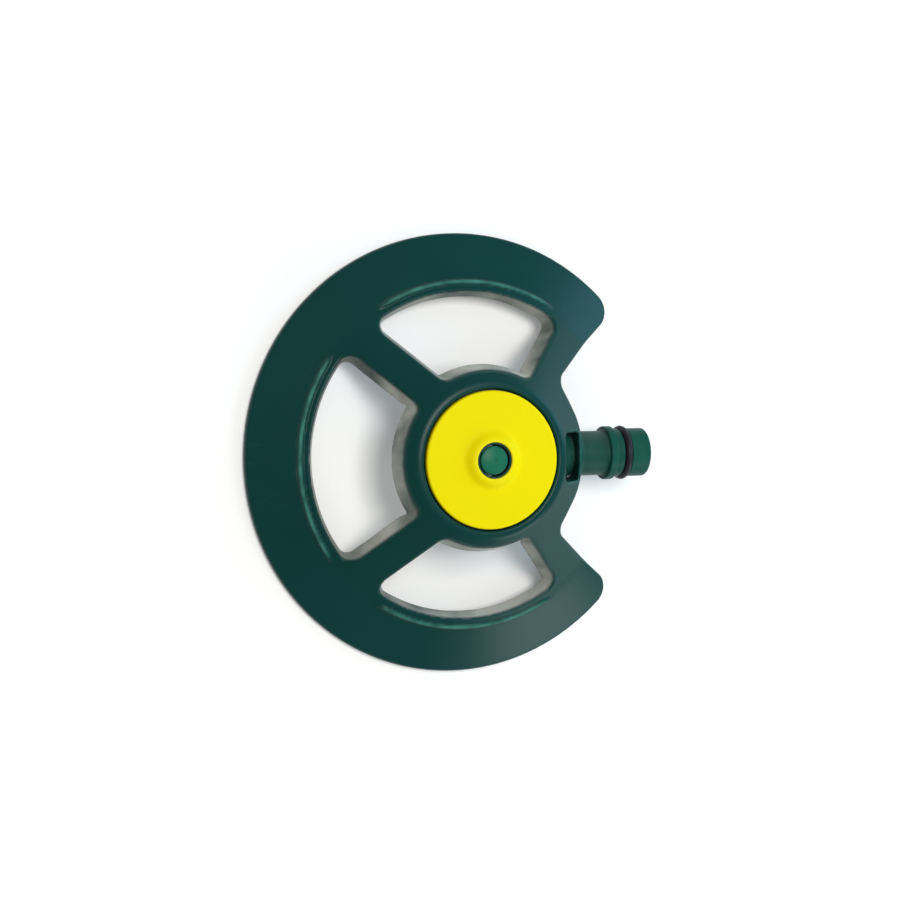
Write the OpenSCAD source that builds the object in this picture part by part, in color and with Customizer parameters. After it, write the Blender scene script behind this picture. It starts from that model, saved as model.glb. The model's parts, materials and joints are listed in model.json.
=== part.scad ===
// Pyramid sprinkler: a cone-shaped wheel base with three windows, a snap-in hose spigot and a spray dial.
// Millimetres. The ground is z = 0, the dial turns about the Z axis and the hose arrives along +X.

/* [Ring] */
// Radius of the ring where it stands on the ground
ring_r = 70; // [64:1:78]
// Radial width of the flat outer band, from the rim to the bead
band_w = 15.5; // [13:0.1:18]
// Height of the upright rim at the foot of the ring
rim_h = 2.6; // [2:0.1:3.6]
// Thickness of the upright rim
rim_t = 2.2; // [1.6:0.1:3]
// Height of the shell at the inner edge of the outer band
knee_h = 10.4; // [9:0.1:12]
// Vertical thickness of the sloping shell
shell_t = 2.8; // [2.2:0.1:3.4]
// Radius of the round bead outside each window
bead_t = 0.9; // [0.6:0.1:1.2]

/* [Windows] */
// Distance from the bead line to the window
window_gap = 2.5; // [1.6:0.1:3.5]
// Corner radius at the outer end of a window
outer_corner = 5; // [3:0.1:6]
// Corner radius at the hub end of a window
inner_corner = 2.5; // [1.5:0.1:3.5]
// Half width of a rear spoke, on the side of the rear window
rear_web = 3.7; // [3:0.1:5]
// Half width of a rear spoke, on the side of a side window
side_web = 6.6; // [4:0.1:7.5]
// Half width of a front spoke, on the side of a side window
front_web = 7.3; // [6:0.1:8.5]

/* [Notch] */
// Direction of the notch edge of a horn, in degrees from the hose axis
horn_edge_a = 36.5; // [34:0.5:38]
// Distance of that edge from the middle of the sprinkler
horn_edge_d = 3.8; // [3:0.1:4.5]
// Corner radius at the tip of a horn
horn_tip_r = 7; // [3:0.1:8]
// Corner radius deep in the notch
notch_corner_r = 3.2; // [2:0.1:4.5]
// Width of the apron in front of the hub
apron_w = 6; // [5.6:0.1:8.5]
// Half length of the straight front edge of the apron
front_half = 8.6; // [8.2:0.1:10]
// Angle by which the apron sweeps back beside that edge
apron_sweep = 27; // [22:1:32]
// Corner radius between those edges
front_corner_r = 2.5; // [2:0.1:3.5]
// Thickness of the turned-down edges and of the front wall
flange_t = 1.6; // [1.2:0.1:1.9]
// Depth of the turned-down edge along the notch
notch_flange_d = 5; // [3:0.1:7]
// Depth of the turned-down edge round a window
window_flange_d = 4.4; // [1:0.1:6]

/* [Hub] */
// Radius where the spokes meet the hub
hub_r = 27.4; // [25.2:0.1:28]
// Radius of the recess that holds the dial
recess_r = 22; // [21.4:0.1:22.2]
// Thickness of the lip round the recess
lip_t = 2; // [1.6:0.1:2.6]
// Height of the lip above the spokes
lip_rise = 2.8; // [2.2:0.1:3.2]
// Thickness of the floor of the recess
floor_t = 1.8; // [1.6:0.1:2.6]
// Thickness of the ribs under the shell
rib_t = 2; // [1.4:0.1:2.6]
// Depth of the ribs under the spokes
rib_d = 5; // [3:0.1:7]
// Distance of the round rib from the outside of the rim
round_rib_in = 9; // [6:0.1:12]

/* [Slot] */
// Width of the strap in front of the slot
strap_w = 1.6; // [1.6:0.1:2.2]
// Half width of the slot across the hose axis
slot_half = 7.6; // [7:0.1:8]
// Corner radius of the slot
slot_corner = 1.5; // [0.8:0.1:2]

/* [Spigot] */
// Height of the hose axis above the ground
inlet_h = 16.5; // [16:0.5:19]
// Radius of the waterway through the spigot
bore_r = 4.6; // [4:0.1:4.8]
// Radius of the end that seats in the tower
seat_r = 7; // [6.9:0.1:7.2]
// Radius of the stop collar seen through the slot
stop_r = 8.4; // [8:0.1:8.6]
// Thickness of that stop collar
stop_t = 3.5; // [2.5:0.1:3.6]
// Radius of the shoulder outside the front wall
shoulder_r = 8.2; // [7.8:0.1:8.6]
// Radius of the neck that the catch of a hose connector drops into
neck_r = 7.1; // [6.9:0.05:7.2]
// Length from the front wall to the catch collar
neck_len = 10.8; // [9:0.1:13]
// Radius of the catch collar
catch_r = 8.5; // [8.2:0.1:8.8]
// Thickness of the catch collar
catch_t = 2.7; // [2:0.1:3.5]
// Length of the land between the catch collar and the O-ring
land_len = 2.4; // [1.6:0.1:3]
// Radius of the tip of the spigot
tip_r = 7.7; // [7.5:0.05:7.9]
// Length of the tip beyond the O-ring
tip_len = 6.5; // [6:0.1:8]
// Rounding at the end of the tip
tip_round = 1.4; // [0.8:0.1:1.6]
// Cord radius of the O-ring on the spigot
ring_cord = 1.2; // [1:0.05:1.3]
// Cord radius of the seal inside the socket
seal_cord = 0.7; // [0.6:0.05:0.8]

/* [Filter] */
// Radius of the filter cup in the mouth of the spigot
filter_r = 5.7; // [5.4:0.1:5.8]
// Length of the filter cup
filter_len = 4; // [3:0.1:5]
// Thickness of the filter cup
filter_t = 0.8; // [0.6:0.1:1]
// Radius of one hole of the sieve
sieve_hole = 0.55; // [0.4:0.05:0.6]
// Distance between the holes of the sieve
sieve_pitch = 1.7; // [1.5:0.1:2]

/* [Tower] */
// Wall of the socket round the spigot
socket_wall = 2; // [1.6:0.1:2.2]
// Bore of the tower above and below the inlet
barrel_bore = 9; // [8.9:0.1:9.4]
// Wall of the tower
barrel_wall = 2.6; // [2.4:0.1:3]
// Width of the step inside the tower that carries the flow guide
guide_step = 0.8; // [0.6:0.1:1]
// Radius of the passage from the socket into the tower
passage_r = 5; // [4.6:0.1:5.4]
// Circle of the screws that hold the tower
screw_circle = 18.6; // [18.4:0.1:18.8]
// Radius of a screw boss under the hub
boss_r = 2.9; // [2.4:0.1:3]
// Thickness of the screw ears
ear_t = 2.6; // [2:0.1:3.2]
// Thickness of the spigot clip
clip_t = 1.2; // [0.8:0.1:1.6]
// Thickness of the seal under the bottom plug
plug_seal_t = 0.8; // [0.6:0.1:1.2]
// Thickness of the head of the bottom plug
plug_head_t = 2.4; // [2:0.1:3]
// Depth of the bottom plug in the tower
plug_depth = 4.9; // [4:0.1:5]
// Length of the flow guide
guide_len = 2.6; // [2:0.1:3]
// Thickness of a vane of the flow guide
vane_t = 1; // [0.8:0.1:1.4]

/* [Screws] */
// Radius of the thread of a tower screw
screw_r = 1.5; // [1.3:0.05:1.5]
// Radius of the head of a tower screw
screw_head_r = 2.8; // [2.4:0.1:2.9]
// Height of the head of a tower screw
screw_head_h = 2; // [1.4:0.1:2.2]
// Radius of the thread of a nut screw
nut_screw_r = 0.8; // [0.7:0.05:0.85]
// Height of the head of a nut screw
nut_screw_head_h = 1; // [0.8:0.1:1.1]

/* [Dial] */
// Gap between the rim of the dial and the recess
dial_gap = 0.6; // [0.4:0.1:0.8]
// Thickness of the dial at its rim
dial_t = 1.5; // [1.2:0.1:2]
// Rise of the dial from its rim to the foot of the boss
dial_crown = 0.4; // [0:0.1:0.8]
// Space between the dial and the floor of the recess
dial_space = 2.6; // [2.5:0.1:3.4]
// Radius of the foot of the raised boss
boss_foot_r = 9; // [8.6:0.1:10]
// Radius of the crest of the raised boss
boss_crest_r = 6.9; // [6.7:0.1:7.2]
// Height of the raised boss
boss_h = 1.9; // [1.4:0.1:2.6]
// Wall of the skirt that turns on the tower
skirt_wall = 1.9; // [1.7:0.1:2]
// Thickness of the retaining ring
retainer_t = 0.8; // [0.6:0.1:1]
// Thickness of the slip washer
washer_t = 0.5; // [0.4:0.1:0.8]
// How far the dial turns between its stops
dial_turn = 270; // [200:5:290]
// Width of the stop lug under the dial, in degrees
lug_arc = 14; // [10:1:20]

/* [Nozzle] */
// Radius of the hole in the orifice ring
orifice_r = 5; // [4.9:0.05:5.1]
// Wall of the orifice ring
orifice_wall = 0.55; // [0.5:0.05:0.6]
// Gap between the head of the pin and the orifice ring, which the water leaves through
spray_gap = 0.5; // [0.3:0.05:0.8]
// Radius of the threaded part of the pin
pin_thread_r = 3; // [2.8:0.1:3.1]
// Radius across the corners of the hexagon that keeps the pin from turning
key_r = 2.5; // [2.3:0.1:2.6]
// Length of that hexagon below the flow guide
key_tail = 6; // [4:0.5:7]
// How far the pin rises over the whole turn of the dial
pin_lift = 1.6; // [1:0.1:1.8]
// Height of the domed top of the pin
dome_h = 0.8; // [0.5:0.1:1.2]
// Radius of the hub of the lift nut
nut_hub_r = 4.4; // [4.2:0.1:4.5]
// Thickness of the lift nut
nut_t = 2.7; // [2:0.1:2.8]
// Thickness of the clip on the pin
pin_clip_t = 0.6; // [0.5:0.1:0.8]

/* [Clearances] */
// Radial clearance of a shaft that turns or slides in its hole
run_fit = 0.1; // [0.04:0.01:0.1]
// Radial clearance of a piece that is pushed into its seat
seat_fit = 0.05; // [0.02:0.01:0.1]
// Gap between moving pieces that don't guide each other
free_gap = 0.3; // [0.3:0.05:0.4]

/* [Hidden] */
$fn = 96;

// Heights, stacked from the hose axis up to the top of the dial
socket_bore = seat_r + run_fit;
socket_r = socket_bore + socket_wall;
skirt_z = inlet_h + socket_r + 0.5;
retainer_z = skirt_z + 0.5;
groove_play = 0.1;
washer_z = retainer_z + retainer_t + 2 * groove_play + free_gap;
floor_under = washer_z + washer_t;
floor_z = floor_under + floor_t;
dial_under = floor_z + dial_space;
dial_rim_z = dial_under + dial_t;
dial_foot_z = dial_rim_z + dial_crown;
crest_z = dial_foot_z + boss_h;
lip_z = dial_rim_z - 0.4;
hub_h = lip_z - lip_rise;

// Plan of the base
knee_r = ring_r - band_w;
window_r = knee_r - window_gap;
front_x = hub_r + apron_w;
lip_r = recess_r + lip_t;
spoke_angles = [45, 135, 225, 315];
far = 2 * ring_r;
tall = 2 * hub_h;
front_wall_reach = 9;
front_wall_half = front_half + 4.4;
rib_lift = 1;
soft = 0.6;
slot_x0 = hub_r - 1.6;
slot_x1 = front_x - strap_w;

// Places along the hose axis
socket_end = slot_x0 + 0.8;
stop_x = socket_end + free_gap;
barrel_r = barrel_bore + barrel_wall;
socket_floor = barrel_r + 0.4;
seat_x = socket_floor + free_gap;
seal_x = seat_x + 3.2;
clip_x = socket_end - 4.4;
shoulder_x = front_x + free_gap;
shoulder_len = 1.5;
catch_x = front_x + neck_len;
land_x = catch_x + catch_t;
groove_x = land_x + land_len;
groove_w = 2 * ring_cord + 2 * groove_play;
tip_x = groove_x + groove_w;
spigot_end = tip_x + tip_len;
groove_r = tip_r + 0.9 - 2 * ring_cord;
seal_groove_r = seat_r - 2 * seal_cord;
clip_groove_r = seat_r - 1;
neck_hole_r = neck_r + 0.2;
filter_seat = filter_r + seat_fit;
filter_x = spigot_end - filter_len;

// Tower, guide and nozzle
tower_foot = inlet_h - passage_r - 6.5;
plug_step = inlet_h - passage_r - 1.2;
guide_z = inlet_h + passage_r + 1;
guide_top = guide_z + guide_len;
pin_clip_z = guide_top + 0.4;
nut_z = pin_clip_z + pin_clip_t + pin_lift + free_gap;
nut_top = nut_z + nut_t;
barrel_top = dial_under - 1.1;
ear_z = inlet_h + 6;
ear_r = boss_r + free_gap;
screw_fit = screw_r + seat_fit;
screw_depth = floor_z - 1.4;
skirt_bore = barrel_r + run_fit;
skirt_r = skirt_bore + skirt_wall;
floor_hole = skirt_r + free_gap;
dial_groove_r = skirt_r - 0.8;
shoulder_ring_r = skirt_r + 1.9;
dial_r = recess_r - dial_gap;
dial_seal_cord = 0.75;
dial_seal_z = floor_z - 0.4;
dial_seal_r = barrel_r - dial_seal_cord;
retainer_r = screw_circle - boss_r - 2 * free_gap;
retainer_mouth = 8;
retainer_mouth_a = 210;
stop_in = shoulder_ring_r + 1;
stop_out = stop_in + 2.4;
stop_clear = 2;
stop_arc = 360 - dial_turn - lug_arc - 2 * stop_clear;
stop_mid = 180;
lug_start = stop_mid + stop_arc / 2 + stop_clear;
pin_r = orifice_r - spray_gap;
dial_hole_r = orifice_r + orifice_wall + seat_fit;
orifice_lip = 0.3;
nut_ring_r = barrel_bore - free_gap - 0.1;
nut_screw_head_r = 1.25;
nut_screw_circle = nut_ring_r - nut_screw_head_r;
post_r = 1.2;
nut_post_angles = [30, 150, 270];
head_z = crest_z - 2.2;

function dir(a) = [cos(a), sin(a)];
function arc(c, r, a0, a1, n) = [for (i = [0 : n]) c + r * dir(a0 + (a1 - a0) * i / n)];
function angle(p) = atan2(p[1], p[0]);
function flip(pts) = [for (i = [len(pts) - 1 : -1 : 0]) [pts[i][0], -pts[i][1]]];

// Height of the outside of the shell at radius r
function top_z(r) = r > knee_r
    ? rim_h + (knee_h - rim_h) * (ring_r - r) / band_w
    : knee_h + (hub_h - knee_h) * (knee_r - r) / (knee_r - hub_r);
function under_z(r) = top_z(r) - shell_t;

// Point where two lines meet, each given by the direction of its normal and its distance from the middle
function meet(a1, d1, a2, d2) =
    [d1 * sin(a2) - d2 * sin(a1), d2 * cos(a1) - d1 * cos(a2)] / sin(a2 - a1);

// Middle of a corner that is reach away from the middle of the part and off away from a line along angle a
function corner(a, side, reach, off) =
    sqrt(reach * reach - off * off) * dir(a) + side * off * dir(a + 90);

// Outline of a window about the direction mid, grown by g. Its sides run along the spokes' lines.
// Between its corners it runs spare wide of the two round ends, which circles cut
spare = 3;
function window_pts(mid, web_cw, web_ccw, g) =
    let (a = mid - 45, b = mid + 45)
    let (out_a = corner(a, 1, window_r - outer_corner, web_cw + outer_corner))
    let (out_b = corner(b, -1, window_r - outer_corner, web_ccw + outer_corner))
    let (in_a = corner(a, 1, hub_r + inner_corner, web_cw + inner_corner))
    let (in_b = corner(b, -1, hub_r + inner_corner, web_ccw + inner_corner))
    let (turn_a = mid + bend(angle(out_a), mid), turn_b = mid + bend(angle(out_b), mid))
    let (back_a = mid + bend(angle(in_a), mid), back_b = mid + bend(angle(in_b), mid))
    concat(
        arc(out_a, outer_corner + g, a - 90, turn_a - 3, 6),
        arc([0, 0], window_r + g + spare, turn_a, turn_b, 6),
        arc(out_b, outer_corner + g, turn_b + 3, b + 90, 6),
        arc(in_b, inner_corner + g, b + 90, back_b + 177, 5),
        [(hub_r - g - spare) * dir(back_b), (hub_r - g - spare) * dir(back_a)],
        arc(in_a, inner_corner + g, back_a + 183, a + 270, 5)
    );

// Difference of two directions, between -180 and 180 degrees
function bend(a, b) = a - b - 360 * round((a - b) / 360);

// Directions between which the bead of a window runs
function bead_span(mid, web_cw, web_ccw) = [
    mid + bend(angle(corner(mid - 45, 1, window_r - outer_corner, web_cw + outer_corner)), mid),
    mid + bend(angle(corner(mid + 45, -1, window_r - outer_corner, web_ccw + outer_corner)), mid)
];

// Outline of the notch between the horns, grown into the shell by g. The round of a tip starts tip_over
// outside the ring, so that it crosses the rim
apron_d = front_x * cos(apron_sweep) + front_half * sin(apron_sweep);
horn_n = horn_edge_a + 90;
tip_over = 0.1;
tip_c = corner(horn_edge_a, 1, ring_r - horn_tip_r + tip_over, horn_edge_d + horn_tip_r);
deep_c = meet(apron_sweep, apron_d + notch_corner_r, horn_n, horn_edge_d - notch_corner_r);
front_c = meet(0, front_x - front_corner_r, apron_sweep, apron_d - front_corner_r);
function notch_half(g) = concat(
    [far * dir(angle(tip_c))],
    arc(tip_c, horn_tip_r - g, angle(tip_c), horn_n - 180, 10),
    arc(deep_c, notch_corner_r + g, horn_n, apron_sweep + 180, 8),
    arc(front_c, front_corner_r - g, apron_sweep, 0, 3)
);

// Settings of the three windows: direction and the webs on their two sides
WINDOWS = [[90, front_web, side_web], [180, rear_web, rear_web], [270, side_web, front_web]];

module window(w, g) {
    linear_extrude(tall) difference() {
        intersection() {
            polygon(window_pts(w[0], w[1], w[2], g));
            circle(r = window_r + g);
        }
        circle(r = hub_r - g);
    }
}

module notch(g) {
    half = notch_half(g);
    linear_extrude(tall) polygon(concat(half, flip(half)));
}

// Turned about the hose axis: points are [distance along the axis, radius]
module along_hose() {
    translate([0, 0, inlet_h]) rotate([0, 90, 0]) children();
}

module washer(r_in, r_out, z, t) {
    translate([0, 0, z]) difference() {
        cylinder(r = r_out, h = t);
        translate([0, 0, -1]) cylinder(r = r_in, h = t + 2);
    }
}

module cord_ring(r, cord) {
    rotate_extrude() translate([r, 0]) circle(r = cord, $fn = 32);
}

// Cross-section of the shell, with the hub, the recess, the round rib and the rim
module shell_body() {
    round_rib = ring_r - round_rib_in;
    rotate_extrude() polygon([
        [ring_r - rim_t, 0], [ring_r, 0], [ring_r, rim_h - soft], [ring_r - soft, top_z(ring_r - soft)],
        [knee_r, knee_h], [hub_r, hub_h], [lip_r, lip_z - soft], [lip_r - soft, lip_z],
        [recess_r + soft, lip_z], [recess_r, lip_z - soft], [recess_r, floor_z], [floor_hole, floor_z],
        [floor_hole, floor_under], [recess_r, floor_under], [recess_r, skirt_z], [lip_r, skirt_z],
        [lip_r, hub_h + (hub_r - lip_r) - shell_t], [hub_r, hub_h - shell_t], [knee_r, knee_h - shell_t],
        [round_rib - rib_t, under_z(round_rib - rib_t)], [round_rib - rib_t, rib_lift],
        [round_rib, rib_lift], [round_rib, under_z(round_rib)], [ring_r - rim_t, under_z(ring_r - rim_t)]
    ]);
}

// Layer of a given depth under the shell that ribs and turned-down edges are cut from
module under_layer(depth, foot) {
    r_in = lip_r - lip_t / 2;
    r_out = ring_r - rim_t / 2;
    rotate_extrude() intersection() {
        polygon([
            [r_in, top_z(r_in) - shell_t / 2], [r_in, under_z(r_in) - depth],
            [knee_r, knee_h - shell_t - depth], [r_out, under_z(r_out) - depth],
            [r_out, top_z(r_out) - shell_t / 2], [knee_r, knee_h - shell_t / 2]
        ]);
        translate([0, foot]) square([ring_r, tall]);
    }
}

module ribs() {
    intersection() {
        under_layer(rib_d, rib_lift);
        for (a = spoke_angles) rotate(a) translate([0, -rib_t / 2, 0]) cube([ring_r, rib_t, tall]);
    }
}

module edges() {
    intersection() {
        under_layer(window_flange_d, rib_lift);
        for (w = WINDOWS) window(w, flange_t);
    }
    intersection() {
        under_layer(notch_flange_d, 0);
        notch(flange_t);
    }
    intersection() {
        under_layer(tall, inlet_h - front_wall_reach);
        notch(flange_t);
        translate([0, -front_wall_half, 0]) cube([far, 2 * front_wall_half, tall]);
    }
}

module beads() {
    for (w = WINDOWS) {
        span = bead_span(w[0], w[1], w[2]);
        rotate(span[0]) rotate_extrude(angle = span[1] - span[0])
            translate([knee_r, knee_h]) circle(r = bead_t, $fn = 32);
    }
}

module bosses() {
    for (a = spoke_angles) rotate(a) translate([screw_circle, 0, ear_z])
        cylinder(r = boss_r, h = floor_under - ear_z + floor_t / 2);
}

module stop_rib() {
    rotate(stop_mid - stop_arc / 2) rotate_extrude(angle = stop_arc)
        translate([stop_in, floor_z - floor_t / 2])
            square([stop_out - stop_in, floor_t / 2 + dial_space - 0.8]);
}

module slot_cut() {
    c = slot_corner;
    linear_extrude(tall) polygon(concat(
        arc([slot_x1 - c, slot_half - c], c, 0, 90, 5), arc([slot_x0 + c, slot_half - c], c, 90, 180, 5),
        arc([slot_x0 + c, c - slot_half], c, 180, 270, 5), arc([slot_x1 - c, c - slot_half], c, 270, 360, 5)
    ));
}

// Cut in the front wall that lets the tower and its spigot in from below
module neck_cut() {
    translate([slot_x0, 0, 0]) {
        along_hose() cylinder(r = neck_hole_r, h = far);
        translate([0, -neck_hole_r, 0]) cube([far, 2 * neck_hole_r, inlet_h]);
    }
}

module base_shell() {
    color([0.03, 0.24, 0.21]) difference() {
        union() {
            shell_body();
            ribs();
            edges();
            beads();
            bosses();
            stop_rib();
        }
        translate([0, 0, -1]) {
            for (w = WINDOWS) window(w, 0);
            notch(0);
        }
        slot_cut();
        neck_cut();
        for (a = spoke_angles) rotate(a) translate([screw_circle, 0, ear_z - 1])
            cylinder(r = screw_fit, h = screw_depth - ear_z + 1.4);
    }
}

module hose_spigot() {
    color([0.02, 0.36, 0.27]) along_hose() rotate_extrude() polygon([
        [bore_r, seat_x], [seat_r - soft, seat_x], [seat_r, seat_x + soft],
        [seat_r, seal_x], [seal_groove_r - seat_fit, seal_x],
        [seal_groove_r - seat_fit, seal_x + 2 * seal_cord + 2 * groove_play],
        [seat_r, seal_x + 2 * seal_cord + 2 * groove_play],
        [seat_r, clip_x], [clip_groove_r, clip_x], [clip_groove_r, clip_x + clip_t + 2 * groove_play],
        [seat_r, clip_x + clip_t + 2 * groove_play], [seat_r, stop_x],
        [stop_r, stop_x], [stop_r, stop_x + stop_t], [neck_r, stop_x + stop_t],
        [neck_r, shoulder_x], [shoulder_r, shoulder_x], [shoulder_r, shoulder_x + soft],
        [neck_r, shoulder_x + shoulder_len], [neck_r, catch_x],
        [catch_r - soft / 2, catch_x], [catch_r, catch_x + soft / 2],
        [catch_r, land_x - soft], [catch_r - soft, land_x], [tip_r, land_x],
        [tip_r, groove_x], [groove_r - seat_fit, groove_x], [groove_r - seat_fit, tip_x], [tip_r, tip_x],
        [tip_r, spigot_end - tip_round],
        [tip_r - tip_round * (1 - cos(45)), spigot_end - tip_round * (1 - sin(45))],
        [tip_r - tip_round, spigot_end], [filter_seat, spigot_end], [filter_seat, filter_x], [bore_r, filter_x]
    ]);
}

module spigot_o_ring() {
    color([0.05, 0.05, 0.09]) along_hose()
        translate([0, 0, groove_x + groove_w / 2]) cord_ring(groove_r + ring_cord, ring_cord);
}

// Places of the holes of the sieve: a triangular grid inside the cup
sieve_rows = 3;
sieve_places = [
    for (i = [-sieve_rows : sieve_rows], j = [-sieve_rows : sieve_rows])
        let (p = sieve_pitch * [i + j / 2, j * sin(60)])
        if (norm(p) < filter_r - filter_t - sieve_hole - 0.2) p
];

module inlet_filter() {
    color([0.86, 0.88, 0.84]) along_hose() translate([0, 0, filter_x]) difference() {
        cylinder(r = filter_r, h = filter_len);
        translate([0, 0, filter_t]) cylinder(r = filter_r - filter_t, h = filter_len);
        for (p = sieve_places) translate([p[0], p[1], -1]) cylinder(r = sieve_hole, h = filter_t + 2, $fn = 24);
    }
}

module socket_seal() {
    color([0.05, 0.05, 0.05]) along_hose()
        translate([0, 0, seal_x + seal_cord + groove_play]) cord_ring(seal_groove_r + seal_cord, seal_cord);
}

// Legs of the clip and the slot for them in the socket share these sizes
clip_leg_out = clip_groove_r + 2;
clip_leg_top = inlet_h + 4;
clip_foot = inlet_h - socket_r - 2.2;

module spigot_clip() {
    color([0.78, 0.79, 0.8]) translate([clip_x + groove_play, 0, 0]) difference() {
        translate([0, -clip_leg_out, clip_foot]) cube([clip_t, 2 * clip_leg_out, clip_leg_top - clip_foot]);
        translate([-1, 0, inlet_h]) rotate([0, 90, 0]) cylinder(r = clip_groove_r + seat_fit, h = clip_t + 2);
        translate([-1, -clip_groove_r - seat_fit, inlet_h])
            cube([clip_t + 2, 2 * (clip_groove_r + seat_fit), tall]);
    }
}

module tower_barrel() {
    seal_half = dial_seal_cord + groove_play;
    rotate_extrude() polygon([
        [barrel_bore, tower_foot], [barrel_r, tower_foot], [barrel_r, dial_seal_z - seal_half],
        [barrel_r - 2 * dial_seal_cord - seat_fit, dial_seal_z - seal_half],
        [barrel_r - 2 * dial_seal_cord - seat_fit, dial_seal_z + seal_half],
        [barrel_r, dial_seal_z + seal_half], [barrel_r, barrel_top - soft], [barrel_r - soft, barrel_top],
        [barrel_bore, barrel_top], [barrel_bore, guide_z], [barrel_bore - guide_step, guide_z],
        [barrel_bore - guide_step, plug_step], [barrel_bore, plug_step]
    ]);
}

module water_tower() {
    color([0.1, 0.11, 0.11]) difference() {
        union() {
            tower_barrel();
            along_hose() difference() {
                translate([0, 0, barrel_bore]) cylinder(r = socket_r, h = socket_end - barrel_bore);
                translate([0, 0, socket_floor]) cylinder(r = socket_bore, h = far);
            }
            for (a = spoke_angles) rotate(a) {
                translate([screw_circle, 0, ear_z - ear_t]) cylinder(r = ear_r, h = ear_t);
                translate([barrel_r - barrel_wall / 2, -ear_r * 0.8, ear_z - ear_t])
                    cube([screw_circle - barrel_r + barrel_wall / 2, ear_r * 1.6, ear_t]);
            }
        }
        along_hose() cylinder(r = passage_r, h = socket_end);
        along_hose() translate([0, 0, socket_floor]) cylinder(r = socket_bore, h = far);
        for (a = spoke_angles) rotate(a) translate([screw_circle, 0, ear_z - ear_t - 1])
            cylinder(r = screw_fit, h = ear_t + 2);
        translate([clip_x, -clip_leg_out - groove_play, clip_foot])
            cube([
                clip_t + 2 * groove_play, 2 * (clip_leg_out + groove_play),
                clip_leg_top + groove_play - clip_foot
            ]);
    }
}

// Pan-head screw, point up, with a cross recess in its head
module pan_screw(r, head_r, head_h, length, recess) {
    difference() {
        union() {
            rotate_extrude() polygon([
                [0, -head_h], [head_r * 0.7, -head_h], [head_r, -head_h * 0.55], [head_r, 0],
                [r, 0], [r, length - r], [0.2 * r, length], [0, length]
            ]);
        }
        for (a = [0, 90]) rotate(a) translate([-head_r * 0.6, -recess / 2, -head_h - 1])
            cube([head_r * 1.2, recess, 1 + head_h * 0.55]);
    }
}

module tower_screws() {
    color([0.7, 0.71, 0.72])
        for (a = spoke_angles) rotate(a) translate([screw_circle, 0, ear_z - ear_t])
            pan_screw(screw_r, screw_head_r, screw_head_h, screw_depth - ear_z + ear_t, 0.7);
}

module bottom_plug() {
    plug_r = barrel_bore - run_fit;
    seal_z = tower_foot - plug_seal_t;
    color([0.1, 0.11, 0.11]) difference() {
        rotate_extrude() polygon([
            [0, seal_z - plug_head_t], [barrel_r - soft, seal_z - plug_head_t],
            [barrel_r, seal_z - plug_head_t + soft], [barrel_r, seal_z], [plug_r, seal_z],
            [plug_r, tower_foot + plug_depth - soft], [plug_r - soft, tower_foot + plug_depth],
            [plug_r - 1.8, tower_foot + plug_depth], [plug_r - 1.8, tower_foot + 0.8], [0, tower_foot + 0.8]
        ]);
        translate([-barrel_r * 0.7, -1, seal_z - plug_head_t - 1])
            cube([barrel_r * 1.4, 2, 1 + plug_head_t / 2]);
    }
}

module plug_seal() {
    color([0.05, 0.05, 0.05])
        washer(barrel_bore - run_fit + seat_fit, barrel_r, tower_foot - plug_seal_t, plug_seal_t);
}

key_hole_r = key_r + 0.12;
guide_hub_r = key_hole_r + 1.6;

module flow_guide() {
    ring_out = barrel_bore - seat_fit;
    ring_in = ring_out - 1.2;
    color([0.82, 0.83, 0.8]) translate([0, 0, guide_z]) linear_extrude(guide_len) difference() {
        union() {
            difference() {
                circle(r = ring_out);
                circle(r = ring_in);
            }
            circle(r = guide_hub_r);
            for (a = [30 : 60 : 330]) rotate(a) translate([guide_hub_r - 0.5, -vane_t / 2])
                square([ring_in - guide_hub_r + 1, vane_t]);
        }
        circle(r = key_hole_r, $fn = 6);
    }
}

pin_groove_r = key_r * cos(30) - 0.3;

module nozzle_pin() {
    stem_r = pin_thread_r - 0.8;
    shaft_z = pin_clip_z + pin_clip_t + groove_play;
    thread_top = nut_top + pin_lift;
    color([0.12, 0.5, 0.38]) {
        translate([0, 0, guide_z - key_tail]) cylinder(r = key_r, h = key_tail + guide_len + 0.3, $fn = 6);
        translate([0, 0, guide_top]) cylinder(r = pin_groove_r, h = shaft_z - guide_top + 0.5);
        rotate_extrude() polygon([
            [0, shaft_z], [pin_thread_r - 0.4, shaft_z], [pin_thread_r, shaft_z + 0.4],
            [pin_thread_r, thread_top - 0.4], [pin_thread_r - 0.4, thread_top], [stem_r, thread_top],
            [stem_r, max(thread_top, head_z - 1) + 0.1], [pin_r, head_z + 0.6], [pin_r, head_z + 1.4],
            [pin_r - 0.5, head_z + 1.4 + dome_h * 0.55], [pin_r * 0.5, head_z + 1.4 + dome_h * 0.9],
            [0, head_z + 1.4 + dome_h]
        ]);
    }
}

// Flat clip with an open mouth, as thick as its groove allows
module open_ring(r_in, r_out, z, t, mouth, mouth_a) {
    difference() {
        washer(r_in, r_out, z, t);
        rotate(mouth_a) translate([0, -mouth / 2, z - 1]) cube([r_out + 1, mouth, t + 2]);
    }
}

module pin_clip() {
    color([0.78, 0.79, 0.8])
        open_ring(pin_groove_r + seat_fit, guide_hub_r - 0.1, pin_clip_z, pin_clip_t, pin_groove_r * 1.5, 90);
}

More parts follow.
